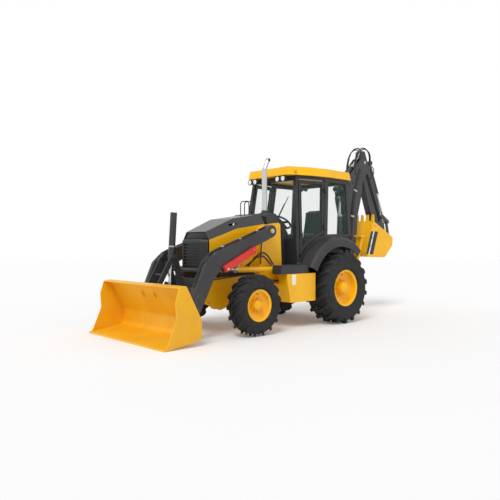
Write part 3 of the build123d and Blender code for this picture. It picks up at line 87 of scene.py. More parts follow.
def linear(hex_colour):
    """sRGB hex, such as F7B718, as linear RGBA."""
    channels = [int(hex_colour[i:i + 2], 16) / 255 for i in (0, 2, 4)]
    return [c / 12.92 if c <= 0.04045 else ((c + 0.055) / 1.055) ** 2.4 for c in channels] + [1.0]


def add_node(tree, kind, inputs=None, **settings):
    """A shader node with its settings; an input is a value, a hex colour or the socket that feeds it."""
    node = tree.nodes.new(kind)
    for name, value in settings.items():
        setattr(node, name, value)
    for name, value in (inputs or {}).items():
        if isinstance(value, bpy.types.NodeSocket):
            tree.links.new(value, node.inputs[name])
        else:
            node.inputs[name].default_value = linear(value) if isinstance(value, str) else value
    return node


def new_finish(name, **surface):
    """A material with a Principled surface, and its node tree and place on the object."""
    material = bpy.data.materials.new(name)
    material.use_nodes = True
    tree = material.node_tree
    shader = tree.nodes["Principled BSDF"]
    for socket, value in surface.items():
        shader.inputs[socket.replace("_", " ")].default_value = linear(value) if isinstance(value, str) else value
    place = add_node(tree, "ShaderNodeTexCoord").outputs["Object"]
    return material, tree, shader, place


def patches(tree, place, size, detail, low, high, most=1.0, roughness=0.55):
    """Soft patches about size metres across: 0 where the noise is under low, and most where it is over high."""
    noise = add_node(tree, "ShaderNodeTexNoise", {"Vector": place, "Scale": 1 / size, "Detail": detail,
                                                  "Roughness": roughness})
    spread = add_node(tree, "ShaderNodeMapRange", {"Value": noise.outputs["Fac"], "From Min": low, "From Max": high,
                                                   "To Max": most})
    return spread.outputs["Result"]


def grain(tree, shader, place, size, detail, depth, strength):
    """Pebbled relief all over the surface, its grains size metres across and depth metres deep."""
    noise = add_node(tree, "ShaderNodeTexNoise", {"Vector": place, "Scale": 1 / size, "Detail": detail,
                                                  "Roughness": 0.55})
    relief = add_node(tree, "ShaderNodeBump", {"Height": noise.outputs["Fac"], "Distance": depth,
                                               "Strength": strength})
    tree.links.new(relief.outputs["Normal"], shader.inputs["Normal"])


def dust(tree, place, top, most):
    """How much dust lies on the paint: most near the ground, none above top metres, in patches."""
    height = add_node(tree, "ShaderNodeSeparateXYZ", {"Vector": place}).outputs["Z"]
    low = add_node(tree, "ShaderNodeMapRange", {"Value": height, "From Max": top, "To Min": most, "To Max": 0.0})
    return add_node(tree, "ShaderNodeMath", {0: low.outputs["Result"],
                                             1: patches(tree, place, 0.11, 6.0, 0.42, 0.68, roughness=0.65)},
                    operation="MULTIPLY").outputs["Value"]


def enamel(name, colour, deep, roughness, dust_top=1.1, dust_most=0.16):
    """Sprayed two-part machine enamel over shot-blasted plate: satin, even, with faint orange peel.

    To the eye: one strong colour with soft wide highlights, a little deeper in broad cloudy areas,
    and a breath of pale dust low down.
    """
    material, tree, shader, place = new_finish(name, Specular_IOR_Level=0.4, Coat_Weight=0.04, Coat_Roughness=0.2)
    clouds = patches(tree, place, 0.45, 3.0, 0.35, 0.65)
    paint = add_node(tree, "ShaderNodeMix", {MIX_AMOUNT: clouds, MIX_FIRST: colour, MIX_SECOND: deep},
                     data_type="RGBA").outputs[MIX_RESULT]
    dirt = dust(tree, place, dust_top, dust_most)
    dusty = add_node(tree, "ShaderNodeMix", {MIX_AMOUNT: dirt, MIX_FIRST: paint, MIX_SECOND: "B7A88F"},
                     data_type="RGBA").outputs[MIX_RESULT]
    tree.links.new(dusty, shader.inputs["Base Color"])
    dull = add_node(tree, "ShaderNodeMapRange", {"Value": dirt, "From Max": 0.5, "To Min": roughness, "To Max": 0.75})
    tree.links.new(dull.outputs["Result"], shader.inputs["Roughness"])
    # Orange peel is about 4 mm across on the real paint; drawn at 9 mm so that it shows
    grain(tree, shader, place, 0.009, 2.0, 0.0004, 0.35)
    return material


def repaint(name, roughness):
    """A yellow enamel to paint over: the material, its tree, shader, place on the object and present paint."""
    material = enamel(name, YELLOW_HEX, YELLOW_DEEP, roughness)
    tree = material.node_tree
    shader = tree.nodes["Principled BSDF"]
    place = next(n for n in tree.nodes if n.type == "TEX_COORD").outputs["Object"]
    return material, tree, shader, place, shader.inputs["Base Color"].links[0].from_socket


def striped_enamel():
    """The backhoe bucket's enamel with two leaning black bands and a white line between, on its side plates.

    To the eye: crisp masked bands across the yellow, on the outside of the bucket only.
    """
    material, tree, shader, place, paint = repaint("backhoe_bucket_enamel", 0.4)
    split = add_node(tree, "ShaderNodeSeparateXYZ", {"Vector": place})

    def between(value, low, high):
        """1 inside low..high and 0 outside, with an edge of a millimetre."""
        centre = add_node(tree, "ShaderNodeMath", {0: value, 1: (low + high) / 2}, operation="SUBTRACT")
        away = add_node(tree, "ShaderNodeMath", {0: centre.outputs["Value"]}, operation="ABSOLUTE")
        half = (high - low) / 2
        inside = add_node(tree, "ShaderNodeMapRange", {"Value": away.outputs["Value"], "From Min": half - 0.0005,
                                                       "From Max": half + 0.0005, "To Min": 1.0, "To Max": 0.0})
        return inside.outputs["Result"]

    lean = add_node(tree, "ShaderNodeMath", {0: split.outputs["Z"], 1: STRIPE_LEAN,
                                             2: -STRIPE_LEAN * STRIPE_MIDDLE - REAR_AXLE.x}, operation="MULTIPLY_ADD")
    across = add_node(tree, "ShaderNodeMath", {0: split.outputs["X"], 1: lean.outputs["Value"]}, operation="ADD")
    tall = between(split.outputs["Z"], 1.235, 1.735)
    width = add_node(tree, "ShaderNodeMath", {0: split.outputs["Y"]}, operation="ABSOLUTE")
    outside = add_node(tree, "ShaderNodeMapRange", {"Value": width.outputs["Value"], "From Min": 0.3035,
                                                    "From Max": 0.3045})
    area = add_node(tree, "ShaderNodeMath", {0: tall, 1: outside.outputs["Result"]}, operation="MULTIPLY")
    for low, high, colour in ((-2.120, -1.810, "1C1C1E"), (-1.985, -1.945, "F2F2EF")):
        band = add_node(tree, "ShaderNodeMath", {0: between(across.outputs["Value"], low, high),
                                                 1: area.outputs["Value"]}, operation="MULTIPLY")
        paint = add_node(tree, "ShaderNodeMix", {MIX_AMOUNT: band.outputs["Value"], MIX_FIRST: paint,
                                                 MIX_SECOND: colour}, data_type="RGBA").outputs[MIX_RESULT]
    tree.links.new(paint, shader.inputs["Base Color"])
    return material


def hood_enamel():
    """Moulded hood in two enamels: yellow sides under a charcoal lid, parted along a rising line.

    To the eye: the dark lid runs down to the lamp line and the yellow begins in a clean edge.
    """
    material, tree, shader, place, paint = repaint("two_tone_hood_enamel", 0.3)
    split = add_node(tree, "ShaderNodeSeparateXYZ", {"Vector": place})
    # The parting rises from the hood's front corner in two straight runs, as (ahead of the rear axle, height)
    falls = []
    for (rear_x, rear_z), (front_x, front_z) in zip(PARTING, PARTING[1:]):
        slope = (front_z - rear_z) / (front_x - rear_x)
        past = add_node(tree, "ShaderNodeMath", {0: split.outputs["X"], 1: from_axle(rear_x, 0, 0).x},
                        operation="SUBTRACT")
        falls.append(add_node(tree, "ShaderNodeMath", {0: past.outputs["Value"], 1: slope, 2: rear_z},
                              operation="MULTIPLY_ADD"))
    rise = add_node(tree, "ShaderNodeMath", {0: falls[0].outputs["Value"], 1: falls[1].outputs["Value"]},
                    operation="MINIMUM")
    above = add_node(tree, "ShaderNodeMath", {0: split.outputs["Z"], 1: rise.outputs["Value"]}, operation="SUBTRACT")
    lid = add_node(tree, "ShaderNodeMapRange", {"Value": above.outputs["Value"], "From Min": -0.001,
                                                "From Max": 0.001})
    two_tone = add_node(tree, "ShaderNodeMix", {MIX_AMOUNT: lid.outputs["Result"], MIX_FIRST: paint,
                                                MIX_SECOND: "3B3B3D"}, data_type="RGBA")
    tree.links.new(two_tone.outputs[MIX_RESULT], shader.inputs["Base Color"])
    return material


def moulded_black(name="moulded_black_polypropylene", colour="2B2B2D", deep="343436", roughness=0.62):
    """Injection-moulded polypropylene with a leather grain from the tool.

    To the eye: dark grey-black with a broad soft sheen and a fine pebble.
    """
    material, tree, shader, place = new_finish(name, Roughness=roughness)
    shade = add_node(tree, "ShaderNodeMix", {MIX_AMOUNT: patches(tree, place, 0.3, 3.0, 0.35, 0.65), MIX_FIRST: colour,
                                             MIX_SECOND: deep}, data_type="RGBA")
    tree.links.new(shade.outputs[MIX_RESULT], shader.inputs["Base Color"])
    # The real pebble is about 1 mm across; drawn at 6 mm so that it shows
    grain(tree, shader, place, 0.006, 3.0, 0.0006, 0.4)
    return material


def tyre_rubber():
    """Carbon-black tyre rubber from a mould, matt, greyer where the ground has rubbed it.

    To the eye: near black sidewalls, lug faces with a dry grey bloom.
    """
    material, tree, shader, place = new_finish("moulded_tyre_rubber", Roughness=0.78)
    bloom = add_node(tree, "ShaderNodeMix", {MIX_AMOUNT: patches(tree, place, 0.07, 6.0, 0.4, 0.72, 0.55),
                                             MIX_FIRST: "131314", MIX_SECOND: "2C2D2D"}, data_type="RGBA")
    tree.links.new(bloom.outputs[MIX_RESULT], shader.inputs["Base Color"])
    grain(tree, shader, place, 0.012, 5.0, 0.0012, 0.5)
    return material


def hose_rubber():
    """Hydraulic hose cover: extruded synthetic rubber, wrapped while it cured.

    To the eye: smooth black tube with a low sheen.
    """
    material, tree, shader, place = new_finish("hydraulic_hose_rubber", Roughness=0.5)
    noise = add_node(tree, "ShaderNodeTexNoise", {"Vector": place, "Scale": 1 / 0.03, "Detail": 4.0, "Roughness": 0.55})
    shade = add_node(tree, "ShaderNodeMix", {MIX_AMOUNT: noise.outputs["Fac"], MIX_FIRST: "161617",
                                             MIX_SECOND: "242425"}, data_type="RGBA")
    tree.links.new(shade.outputs[MIX_RESULT], shader.inputs["Base Color"])
    grain(tree, shader, place, 0.003, 2.0, 0.0003, 0.4)
    return material


def bare_metal(name, colour, roughness, brushed=0.02):
    """A bare metal part; brushed is the length of the marks that its surface shows, in metres.

    To the eye: sharp light and dark bands on a rod, softer on a cast or blasted piece.
    """
    material, tree, shader, place = new_finish(name, Metallic=1.0, Base_Color=colour)
    marks = add_node(tree, "ShaderNodeTexNoise", {"Vector": place, "Scale": 1 / brushed, "Detail": 4.0,
                                                  "Roughness": 0.55})
    dull = add_node(tree, "ShaderNodeMapRange", {"Value": marks.outputs["Fac"], "From Min": 0.3, "From Max": 0.7,
                                                 "To Min": roughness * 0.75, "To Max": roughness * 1.25})
    tree.links.new(dull.outputs["Result"], shader.inputs["Roughness"])
    return material


def tinted_glass():
    """Toughened float glass with a green solar tint, 6 mm thick.

    To the eye: clear, faintly sea-green, with a sharp pale reflection. Each pane is a closed slab, so the
    small coverage counts twice a pane.
    """
    material, tree, shader, place = new_finish("tinted_safety_glass", Roughness=0.02, IOR=1.45, Alpha=0.055)
    # Rain marks: the tint varies a little over a hand's breadth
    marks = add_node(tree, "ShaderNodeTexNoise", {"Vector": place, "Scale": 1 / 0.25, "Detail": 2.0, "Roughness": 0.55})
    green = add_node(tree, "ShaderNodeMix", {MIX_AMOUNT: marks.outputs["Fac"], MIX_FIRST: "78A196",
                                             MIX_SECOND: "6C9389"}, data_type="RGBA")
    tree.links.new(green.outputs[MIX_RESULT], shader.inputs["Base Color"])
    return material


def lens(name, colour, painted_flute_highlight):
    """Moulded polycarbonate lens over a bright reflector, fluted inside in ribs 16 mm apart.

    To the eye: a bright coloured disc with fine upright lines. The lighter lines are a painted highlight: light caught
    by the flutes over the reflector, mixed into the lens colour.
    """
    material, tree, shader, place = new_finish(name, Roughness=0.12, Coat_Weight=0.6, Coat_Roughness=0.05)
    ribs = add_node(tree, "ShaderNodeTexWave", {"Vector": place, "Scale": 20.0, "Distortion": 0.0}).outputs["Fac"]
    # Painted highlight: along the ribs the lens colour turns to a lighter colour that stands for light caught by the
    # flutes
    fluted = add_node(tree, "ShaderNodeMix", {MIX_AMOUNT: ribs, MIX_FIRST: colour, MIX_SECOND: painted_flute_highlight}, data_type="RGBA")
    tree.links.new(fluted.outputs[MIX_RESULT], shader.inputs["Base Color"])
    relief = add_node(tree, "ShaderNodeBump", {"Height": ribs, "Distance": 0.001, "Strength": 0.3})
    tree.links.new(relief.outputs["Normal"], shader.inputs["Normal"])
    return material


def seat_cloth():
    """Woven polyester seat cloth over foam, threads about 1 mm, drawn at 4 mm so that they show.

    To the eye: dark grey-green, matt, with a soft fuzz at the edges.
    """
    material, tree, shader, place = new_finish("woven_seat_cloth", Roughness=0.9, Sheen_Weight=0.4,
                                               Sheen_Roughness=0.4)
    weave = add_node(tree, "ShaderNodeTexChecker", {"Vector": place, "Scale": 1 / 0.004}).outputs["Fac"]
    threads = add_node(tree, "ShaderNodeMix", {MIX_AMOUNT: weave, MIX_FIRST: "2A322F", MIX_SECOND: "39433F"},
                       data_type="RGBA")
    tree.links.new(threads.outputs[MIX_RESULT], shader.inputs["Base Color"])
    relief = add_node(tree, "ShaderNodeBump", {"Height": weave, "Distance": 0.0005, "Strength": 0.5})
    tree.links.new(relief.outputs["Normal"], shader.inputs["Normal"])
    return material


YELLOW = enamel("sprayed_yellow_enamel", YELLOW_HEX, YELLOW_DEEP, 0.34)
BUCKET_YELLOW = enamel("bucket_yellow_enamel", "F4B704", "EBAA02", 0.42)
HOE_YELLOW = striped_enamel()
CHARCOAL = enamel("sprayed_charcoal_enamel", "363639", "2E2E31", 0.36)
CAB_BLACK = enamel("black_powder_coat", "2D2D2F", "262628", 0.42)
ROOF_YELLOW = enamel("moulded_yellow_roof", "FCC008", "F7B605", 0.38, 0.1, 0.0)
HOOD_PAINT = hood_enamel()
LOCK_RED = enamel("sprayed_red_enamel", "E2352B", "D42B22", 0.34)
CASTING = enamel("painted_grey_casting", "3F4042", "36373A", 0.55)
BLACK_PLASTIC = moulded_black()
NOSE_BLACK = moulded_black("moulded_black_nose", "141415", "1B1B1C", 0.5)
RUBBER = tyre_rubber()
HOSE = hose_rubber()
SEAL_RUBBER = moulded_black("extruded_seal_rubber", "141415", "1B1B1C", 0.7)
EXHAUST_STEEL = bare_metal("polished_stainless_tube", "C9C9C7", 0.22)
BURNT_STEEL = bare_metal("heat_blackened_steel", "3A3634", 0.6, 0.03)
ROD_CHROME = bare_metal("ground_hard_chrome", "D2D3D6", 0.12)
ZINC = bare_metal("zinc_plated_steel", "B9B8B0", 0.38, 0.006)
GLASS = tinted_glass()
CLEAR_LENS = lens("clear_lamp_lens", "E9ECEE", "FFFFFF")
AMBER_LENS = lens("amber_lamp_lens", "E07A18", "F59A2A")
RED_LENS = lens("red_lamp_lens", "B51E1A", "D8362C")
CLOTH = seat_cloth()
WHITE_PAINT = enamel("sprayed_white_enamel", "F1F1EE", "E9E9E5", 0.4)

NODE_FINISHES = {
    "hood": HOOD_PAINT, "cowl": CHARCOAL, "grille": NOSE_BLACK, "engine_block": CASTING, "exhaust": EXHAUST_STEEL,
    "cab_frame": CAB_BLACK, "door_left": CAB_BLACK, "door_right": CAB_BLACK, "cab_floor": CAB_BLACK,
    "cab_roof": ROOF_YELLOW, "cab_glass": GLASS, "door_glass_left": GLASS, "door_glass_right": GLASS,
    "cowl_guard": CAB_BLACK, "roof_lamps": BLACK_PLASTIC, "seat": CLOTH, "console": BLACK_PLASTIC,
    "fenders": BLACK_PLASTIC, "step_boxes": BLACK_PLASTIC, "steering_rod": ROD_CHROME, "loader_bucket": BUCKET_YELLOW,
    "hoe_bucket": HOE_YELLOW, "boom_lock": LOCK_RED, "lift_rods": ROD_CHROME, "tilt_rod": ROD_CHROME,
    "boom_rod": ROD_CHROME, "dipper_rod": ROD_CHROME, "bucket_rod": ROD_CHROME, "loader_arms": CHARCOAL,
    "lift_barrels": YELLOW, "tilt_lever": CHARCOAL, "tilt_link": CHARCOAL, "tilt_barrel": CHARCOAL,
    "hoe_boom": CHARCOAL, "hoe_dipper": CHARCOAL, "hoe_rocker": CHARCOAL, "hoe_link": CHARCOAL, "boom_barrel": CHARCOAL,
    "dipper_barrel": CHARCOAL, "bucket_barrel": CHARCOAL,
}
for node_name, node in NODES.items():
    finish = RUBBER if node_name.startswith("tyre_") else NODE_FINISHES.get(node_name, YELLOW)
    node.data.materials.clear()
    node.data.materials.append(finish)


# Modelling, as by hand: a primitive at its size, shaped in edit mode, with its place applied at the end

MIRRORED = Matrix.Diagonal((1, -1, 1, 1))


def begin():
    """Leave nothing selected, so that the next operator touches its own piece only."""
    if bpy.context.object and bpy.context.object.mode == "EDIT":
        bpy.ops.object.mode_set(mode="OBJECT")
    bpy.ops.object.select_all(action="DESELECT")


def take(*pieces):
    """Select these pieces alone; the first is the active one."""
    begin()
    for piece in pieces:
        piece.select_set(True)
    bpy.context.view_layer.objects.active = pieces[0]


def settle(piece, name, finish, body, smooth=32):
    """Apply a piece's place, close its seams, turn its faces outwards, paint it and set it on its body."""
    take(piece)
    bpy.ops.object.transform_apply(location=True, rotation=True, scale=True)
    bpy.ops.object.mode_set(mode="EDIT")
    bpy.ops.mesh.select_all(action="SELECT")
    bpy.ops.mesh.remove_doubles(threshold=0.00002)
    bpy.ops.mesh.normals_make_consistent(inside=False)
    bpy.ops.object.mode_set(mode="OBJECT")
    bpy.ops.object.shade_smooth_by_angle(angle=math.radians(smooth))
    piece.name = piece.data.name = name
    piece.data.materials.clear()
    piece.data.materials.append(finish)
    if body:
        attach(piece, body)
    return piece


def copied(piece, name, matrix, body):
    """Another of a piece with its own mesh, moved by the matrix."""
    other = piece.copy()
    other.data = piece.data.copy()
    other.name = other.data.name = name
    scene.collection.objects.link(other)
    other.data.transform(matrix)
    if matrix.determinant() < 0:
        other.data.flip_normals()
    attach(other, body)
    return other


def joined(pieces, name):
    """Several finished pieces of one finish as one."""
    take(*pieces)
    bpy.ops.object.join()
    pieces[0].name = pieces[0].data.name = name
    return pieces[0]


def turned(name, steps, at, toward, finish, body, sides=28, smooth=32):
    """A turned piece: a disc extruded and scaled through (distance, radius) steps, from at in a direction."""
    begin()
    bpy.ops.mesh.primitive_circle_add(vertices=sides, radius=steps[0][1], fill_type="NGON")
    piece = bpy.context.object
    bpy.ops.object.mode_set(mode="EDIT")
    bpy.ops.mesh.select_all(action="SELECT")
    for (before, wide), (distance, radius) in zip(steps, steps[1:]):
        bpy.ops.mesh.extrude_region_move(TRANSFORM_OT_translate={"value": (0, 0, distance - before)})
        bpy.ops.transform.resize(value=(radius / wide, radius / wide, 1), center_override=(0, 0, distance))
    bpy.ops.object.mode_set(mode="OBJECT")
    piece.rotation_euler = Vector(toward).to_track_quat("Z", "Y").to_euler()
    piece.location = at
    return settle(piece, name, finish, body, smooth)


def block(name, low, high, edge, finish, body):
    """A block between two corners, its edges rounded."""
    begin()
    low, high = Vector(low), Vector(high)
    bpy.ops.mesh.primitive_cube_add(size=1, location=(low + high) / 2)
    piece = bpy.context.object
    piece.scale = high - low
    bpy.ops.object.transform_apply(location=True, scale=True)
    bpy.ops.object.mode_set(mode="EDIT")
    bpy.ops.mesh.select_all(action="SELECT")
    bpy.ops.mesh.bevel(offset=edge, segments=3, affect="EDGES")
    return settle(piece, name, finish, body)


def side_plate(name, outline, y_low, y_high, edge, finish, body):
    """A plate with a side-view outline of (ahead of the rear axle, height), from one width to another."""
    begin()
    bpy.ops.mesh.primitive_circle_add(vertices=len(outline), radius=1, fill_type="NGON")
    piece = bpy.context.object
    for vertex, (x, z) in zip(piece.data.vertices, outline):
        vertex.co = from_axle(x, y_low, z)
    bpy.ops.object.mode_set(mode="EDIT")
    bpy.ops.mesh.select_all(action="SELECT")
    bpy.ops.mesh.extrude_region_move(TRANSFORM_OT_translate={"value": (0, y_high - y_low, 0)})
    bpy.ops.mesh.select_all(action="SELECT")
    bpy.ops.mesh.bevel(offset=edge, segments=2, affect="EDGES")
    return settle(piece, name, finish, body)


def tube(name, points, radius, finish, body, order=3):
    """A hose or bent tube along a smooth line near the points, made a mesh."""
    curve = bpy.data.curves.new(name, "CURVE")
    curve.dimensions = "3D"
    spline = curve.splines.new("NURBS")
    spline.points.add(len(points) - 1)
    for point, place in zip(spline.points, points):
        point.co = (*place, 1.0)
    spline.order_u = order
    spline.use_endpoint_u = True
    curve.bevel_depth = radius
    curve.bevel_resolution = 3
    curve.resolution_u = 10
    curve.use_fill_caps = True
    piece = bpy.data.objects.new(name, curve)
    scene.collection.objects.link(piece)
    take(piece)
    bpy.ops.object.convert(target="MESH")
    return settle(bpy.context.object, name, finish, body, 50)


def skin(node_name, start, direction):
    """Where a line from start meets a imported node, so that a fitting sits on its surface."""
    met, place, _, _ = NODES[node_name].ray_cast(Vector(start), Vector(direction).normalized())
    if not met:
        raise SystemExit(f"no surface of {node_name} from {tuple(start)}")
    return place


bpy.context.view_layer.update()


# Tyres: a carcass with two rows of slanted lugs over each packed tyre

RIM_RADIUS = {"front": 0.229, "rear": 0.308}   # where the tyre's bead sits


def tyre(end, radius, width, lugs, lug_height, lug_width):
    """One tyre about its axle at the origin, outward along +Y, then set on its wheel and mirrored for the other."""
    rim = RIM_RADIUS[end]
    half = width / 2
    tread = radius - lug_height
    bulge = rim + 0.45 * (radius - rim)
    outer = [(half - 0.048, rim + 0.001), (half - 0.048, rim + 0.02), (half - 0.036, rim + 0.034),
             (half - 0.018, rim + 0.046), (half - 0.010, rim + 0.060), (half - 0.006, rim + 0.062),
             (half - 0.006, rim + 0.068), (half - 0.004, rim + 0.070), (half, bulge), (half - 0.001, tread - 0.075),
             (half + 0.003, tread - 0.070), (half + 0.003, tread - 0.062), (half - 0.004, tread - 0.058),
             (half - 0.006, tread - 0.05), (half - 0.022, tread - 0.018), (half - 0.055, tread)]
    steps = outer + [(half * 0.3, tread + 0.003), (-half * 0.3, tread + 0.003)] + [(-y, r) for y, r in reversed(outer)]
    start = steps[0][0]
    carcass = turned(f"carcass_{end}", [(y - start, r) for y, r in steps], (0, start, 0), (0, 1, 0), RUBBER,
                     f"wheel_{end}_left", 96)
    take(carcass)
    bpy.ops.object.mode_set(mode="EDIT")
    bpy.ops.mesh.select_all(action="DESELECT")
    bpy.ops.object.mode_set(mode="OBJECT")
    for face in carcass.data.polygons:
        face.select = len(face.vertices) > 4
    bpy.ops.object.mode_set(mode="EDIT")
    bpy.ops.mesh.delete(type="ONLY_FACE")
    bpy.ops.mesh.select_all(action="DESELECT")
    bpy.ops.mesh.select_non_manifold()
    bpy.ops.mesh.bridge_edge_loops()
    bpy.ops.object.mode_set(mode="OBJECT")
    # One lug, straight across, then copied round and swept back
    begin()
    bpy.ops.mesh.primitive_circle_add(vertices=4, radius=1, fill_type="NGON")
    lug = bpy.context.object
    corners = ((-0.5, -0.006), (0.5, -0.006), (0.4, lug_height), (-0.4, lug_height))
    for vertex, (along_tread, height) in zip(lug.data.vertices, corners):
        vertex.co = (tread + height, -0.008, along_tread * lug_width)
    bpy.ops.object.mode_set(mode="EDIT")
    bpy.ops.mesh.select_all(action="SELECT")
    for _ in range(2):
        bpy.ops.mesh.extrude_region_move(TRANSFORM_OT_translate={"value": (0, (half - 0.042) / 2, 0)})
    bpy.ops.mesh.extrude_region_move(TRANSFORM_OT_translate={"value": (-0.014, 0.034, 0)})
    bpy.ops.mesh.extrude_region_move(TRANSFORM_OT_translate={"value": (-0.050, 0.015, 0)})
    bpy.ops.mesh.select_all(action="SELECT")
    bpy.ops.mesh.bevel(offset=0.005, segments=1, affect="EDGES")
    settle(lug, f"lug_{end}", RUBBER, f"wheel_{end}_left")
    pitch = 2 * math.pi / lugs
    pieces = [carcass]
    for row in (1, -1):
        for count in range(lugs):
            piece = copied(lug, f"lug_{end}_{row}_{count}", Matrix.Diagonal((1, row, 1, 1)), f"wheel_{end}_left")
            for vertex in piece.data.vertices:
                turn = (count + (1 - row) / 4) * pitch + 0.5 * pitch * vertex.co.y / (half - 0.05)
                vertex.co = Matrix.Rotation(-turn, 3, "Y") @ vertex.co
            pieces.append(piece)
    bpy.data.objects.remove(lug)
    first = joined(pieces, f"tread_{end}_left")
    centre = Vector(JOINTS[f"wheel_{end}_left_spin"]["pos_m"])
    first.data.transform(Matrix.Translation(centre))
    second = copied(first, f"tread_{end}_right", MIRRORED, f"wheel_{end}_right")
    for name, piece in (("left", first), ("right", second)):
        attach(piece, f"wheel_{end}_{name}")
        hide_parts(f"tyre_{end}_{name}")


tyre("front", radius=0.481, width=0.305, lugs=16, lug_height=0.038, lug_width=0.060)
tyre("rear", radius=0.647, width=0.490, lugs=18, lug_height=0.048, lug_width=0.078)


def wheel_fittings(end, nuts, nut_ring, screw_ring):
    """Wheel nuts on the disc, a hub cover with its screws, and the valve, on each wheel of an axle."""
    rim = RIM_RADIUS[end]
    centre = Vector(JOINTS[f"wheel_{end}_left_spin"]["pos_m"])
    far = centre.y + 0.4
    body = f"wheel_{end}_left"
    nut = turned(f"nut_{end}", [(0, 0.021), (0.003, 0.021), (0.003, 0.016), (0.019, 0.016), (0.022, 0.012),
                                (0.022, 0.009), (0.03, 0.009), (0.031, 0.007)],
                 (0, 0, 0), (0, 1, 0), YELLOW, body, 6, 20)
    screw = turned(f"screw_{end}", [(0, 0.010), (0.008, 0.010), (0.0095, 0.008)],
                   (0, 0, 0), (0, 1, 0), YELLOW, body, 6, 20)
    pieces = []
    for piece, ring, number in ((nut, nut_ring, nuts), (screw, screw_ring, 6)):
        for k in range(number):
            turn = 2 * math.pi * (k + 0.5) / number
            place = skin(f"rim_{end}_left", (centre.x + ring * math.cos(turn), far, centre.z + ring * math.sin(turn)),
                         (0, -1, 0))
            pieces.append(copied(piece, f"fixing_{end}_{ring}_{k}", Matrix.Translation(place), body))
        bpy.data.objects.remove(piece)
    fixings = joined(pieces, f"wheel_fixings_{end}_left")
    hub = skin(f"rim_{end}_left", (centre.x, far, centre.z), (0, -1, 0))
    cover = turned(f"hub_cover_{end}_left", [(0, 0.20 * rim), (0.004, 0.20 * rim), (0.006, 0.19 * rim),
                                             (0.006, 0.09 * rim), (0.012, 0.08 * rim), (0.013, 0.06 * rim)],
                   hub, (0, 1, 0), YELLOW, body, 40)
    seat = skin(f"rim_{end}_left", (centre.x, far, centre.z + rim * 0.8), (0, -1, 0))
    valve = turned(f"valve_{end}_left", [(0, 0.006), (0.03, 0.005), (0.03, 0.007), (0.042, 0.007), (0.043, 0.005)],
                   seat, (0, 1, -0.4), HOSE, body, 12)
    for piece in (fixings, cover, valve):
        copied(piece, piece.name.replace("left", "right"), MIRRORED, f"wheel_{end}_right")


wheel_fittings("front", nuts=8, nut_ring=0.109, screw_ring=0.062)
wheel_fittings("rear", nuts=10, nut_ring=0.146, screw_ring=0.086)


# Pins of the arms: a head plate with its keeper screw over each pin's end

def pin_heads(name, body, node, x, z, y, radius, finish=ZINC):
    """A pair of pin heads, one each side, on the surface of a node that carries the pin."""
    left = skin(node, from_axle(x, y, z), (0, -1, 0))
    head = turned(f"{name}_left", [(0, radius), (0.005, radius), (0.008, radius - 0.004), (0.008, radius * 0.45),
                                   (0.011, radius * 0.4), (0.011, 0.006), (0.016, 0.006), (0.017, 0.004)],
                  left, (0, 1, 0), finish, body, 32)
    copied(head, f"{name}_right", MIRRORED, body)


pin_heads("loader_pivot_head", "chassis", "main_frame", 1.577, 1.658, 0.9, 0.036)
pin_heads("bucket_pin_head", "loader_bucket", "loader_bucket", 3.215, 0.285, 0.9, 0.029)
pin_heads("boom_foot_head", "swing_post", "swing_post", -1.250, 0.760, 0.5, 0.033)
pin_heads("boom_cylinder_foot_head", "swing_post", "swing_post", -1.120, 1.180, 0.5, 0.024)
pin_heads("dipper_pin_head", "hoe_boom", "hoe_boom", -1.890, 3.240, 0.5, 0.034)
pin_heads("lever_pin_head", "tilt_lever", "tilt_lever", 3.150, 1.235, 0.5, 0.034, CHARCOAL)
pin_heads("rocker_pin_head", "hoe_dipper", "hoe_dipper", -2.500, 2.140, 0.5, 0.026)
pin_heads("hoe_bucket_pin_head", "hoe_bucket", "hoe_bucket", -2.650, 1.735, 0.5, 0.028)


# Cylinders: a gland nut at each barrel's mouth and a hose fitting near each end; points are (ahead, height)

def gland(name, body, base, eye, length, radius, rod, y=0.0, fitting=True):
    """Gland nut over a barrel's mouth, length along the line from its base to its rod's eye (side view)."""
    run = math.dist(base, eye)
    ahead = Vector(((eye[0] - base[0]) / run, 0, (eye[1] - base[1]) / run))
    mouth = from_axle(base[0], y, base[1]) + ahead * length
    turned(name, [(0, radius), (0.003, radius + 0.007), (0.030, radius + 0.007), (0.034, radius + 0.002),
                  (0.047, radius + 0.002), (0.050, radius - 0.004), (0.050, rod + 0.006), (0.056, rod + 0.002)],
           mouth - ahead * 0.046, ahead, ZINC, body, 32)
    if fitting:
        up = Vector((-ahead.z, 0, ahead.x))
        for k, distance in enumerate((0.10, length - 0.09)):
            at = from_axle(base[0], y, base[1]) + ahead * distance + up * (radius - 0.004)
            turned(f"{name}_port_{k}", [(0, 0.018), (0.012, 0.018), (0.014, 0.013), (0.022, 0.013), (0.022, 0.016),
                                        (0.034, 0.016), (0.036, 0.011)], at, up, ZINC, body, 6, 20)


for side_name, sign in SIDES:
    gland(f"lift_gland_{side_name}", "lift_barrels", (1.400, 1.010), (2.593, 1.045), 0.960, 0.046, 0.025, sign * 0.668)
gland("tilt_gland", "tilt_barrel", (3.080, 1.230), (3.134, 0.420), 0.130, 0.053, 0.028, 0.0, False)
gland("boom_gland", "boom_barrel", (-1.120, 1.180), (-1.190, 2.440), 0.900, 0.052, 0.026)
gland("dipper_gland", "dipper_barrel", (-1.130, 2.620), (-1.880, 3.440), 0.700, 0.050, 0.026)
gland("bucket_gland", "bucket_barrel", (-2.200, 3.270), ROCKER_TOP, 0.760, 0.044, 0.024)

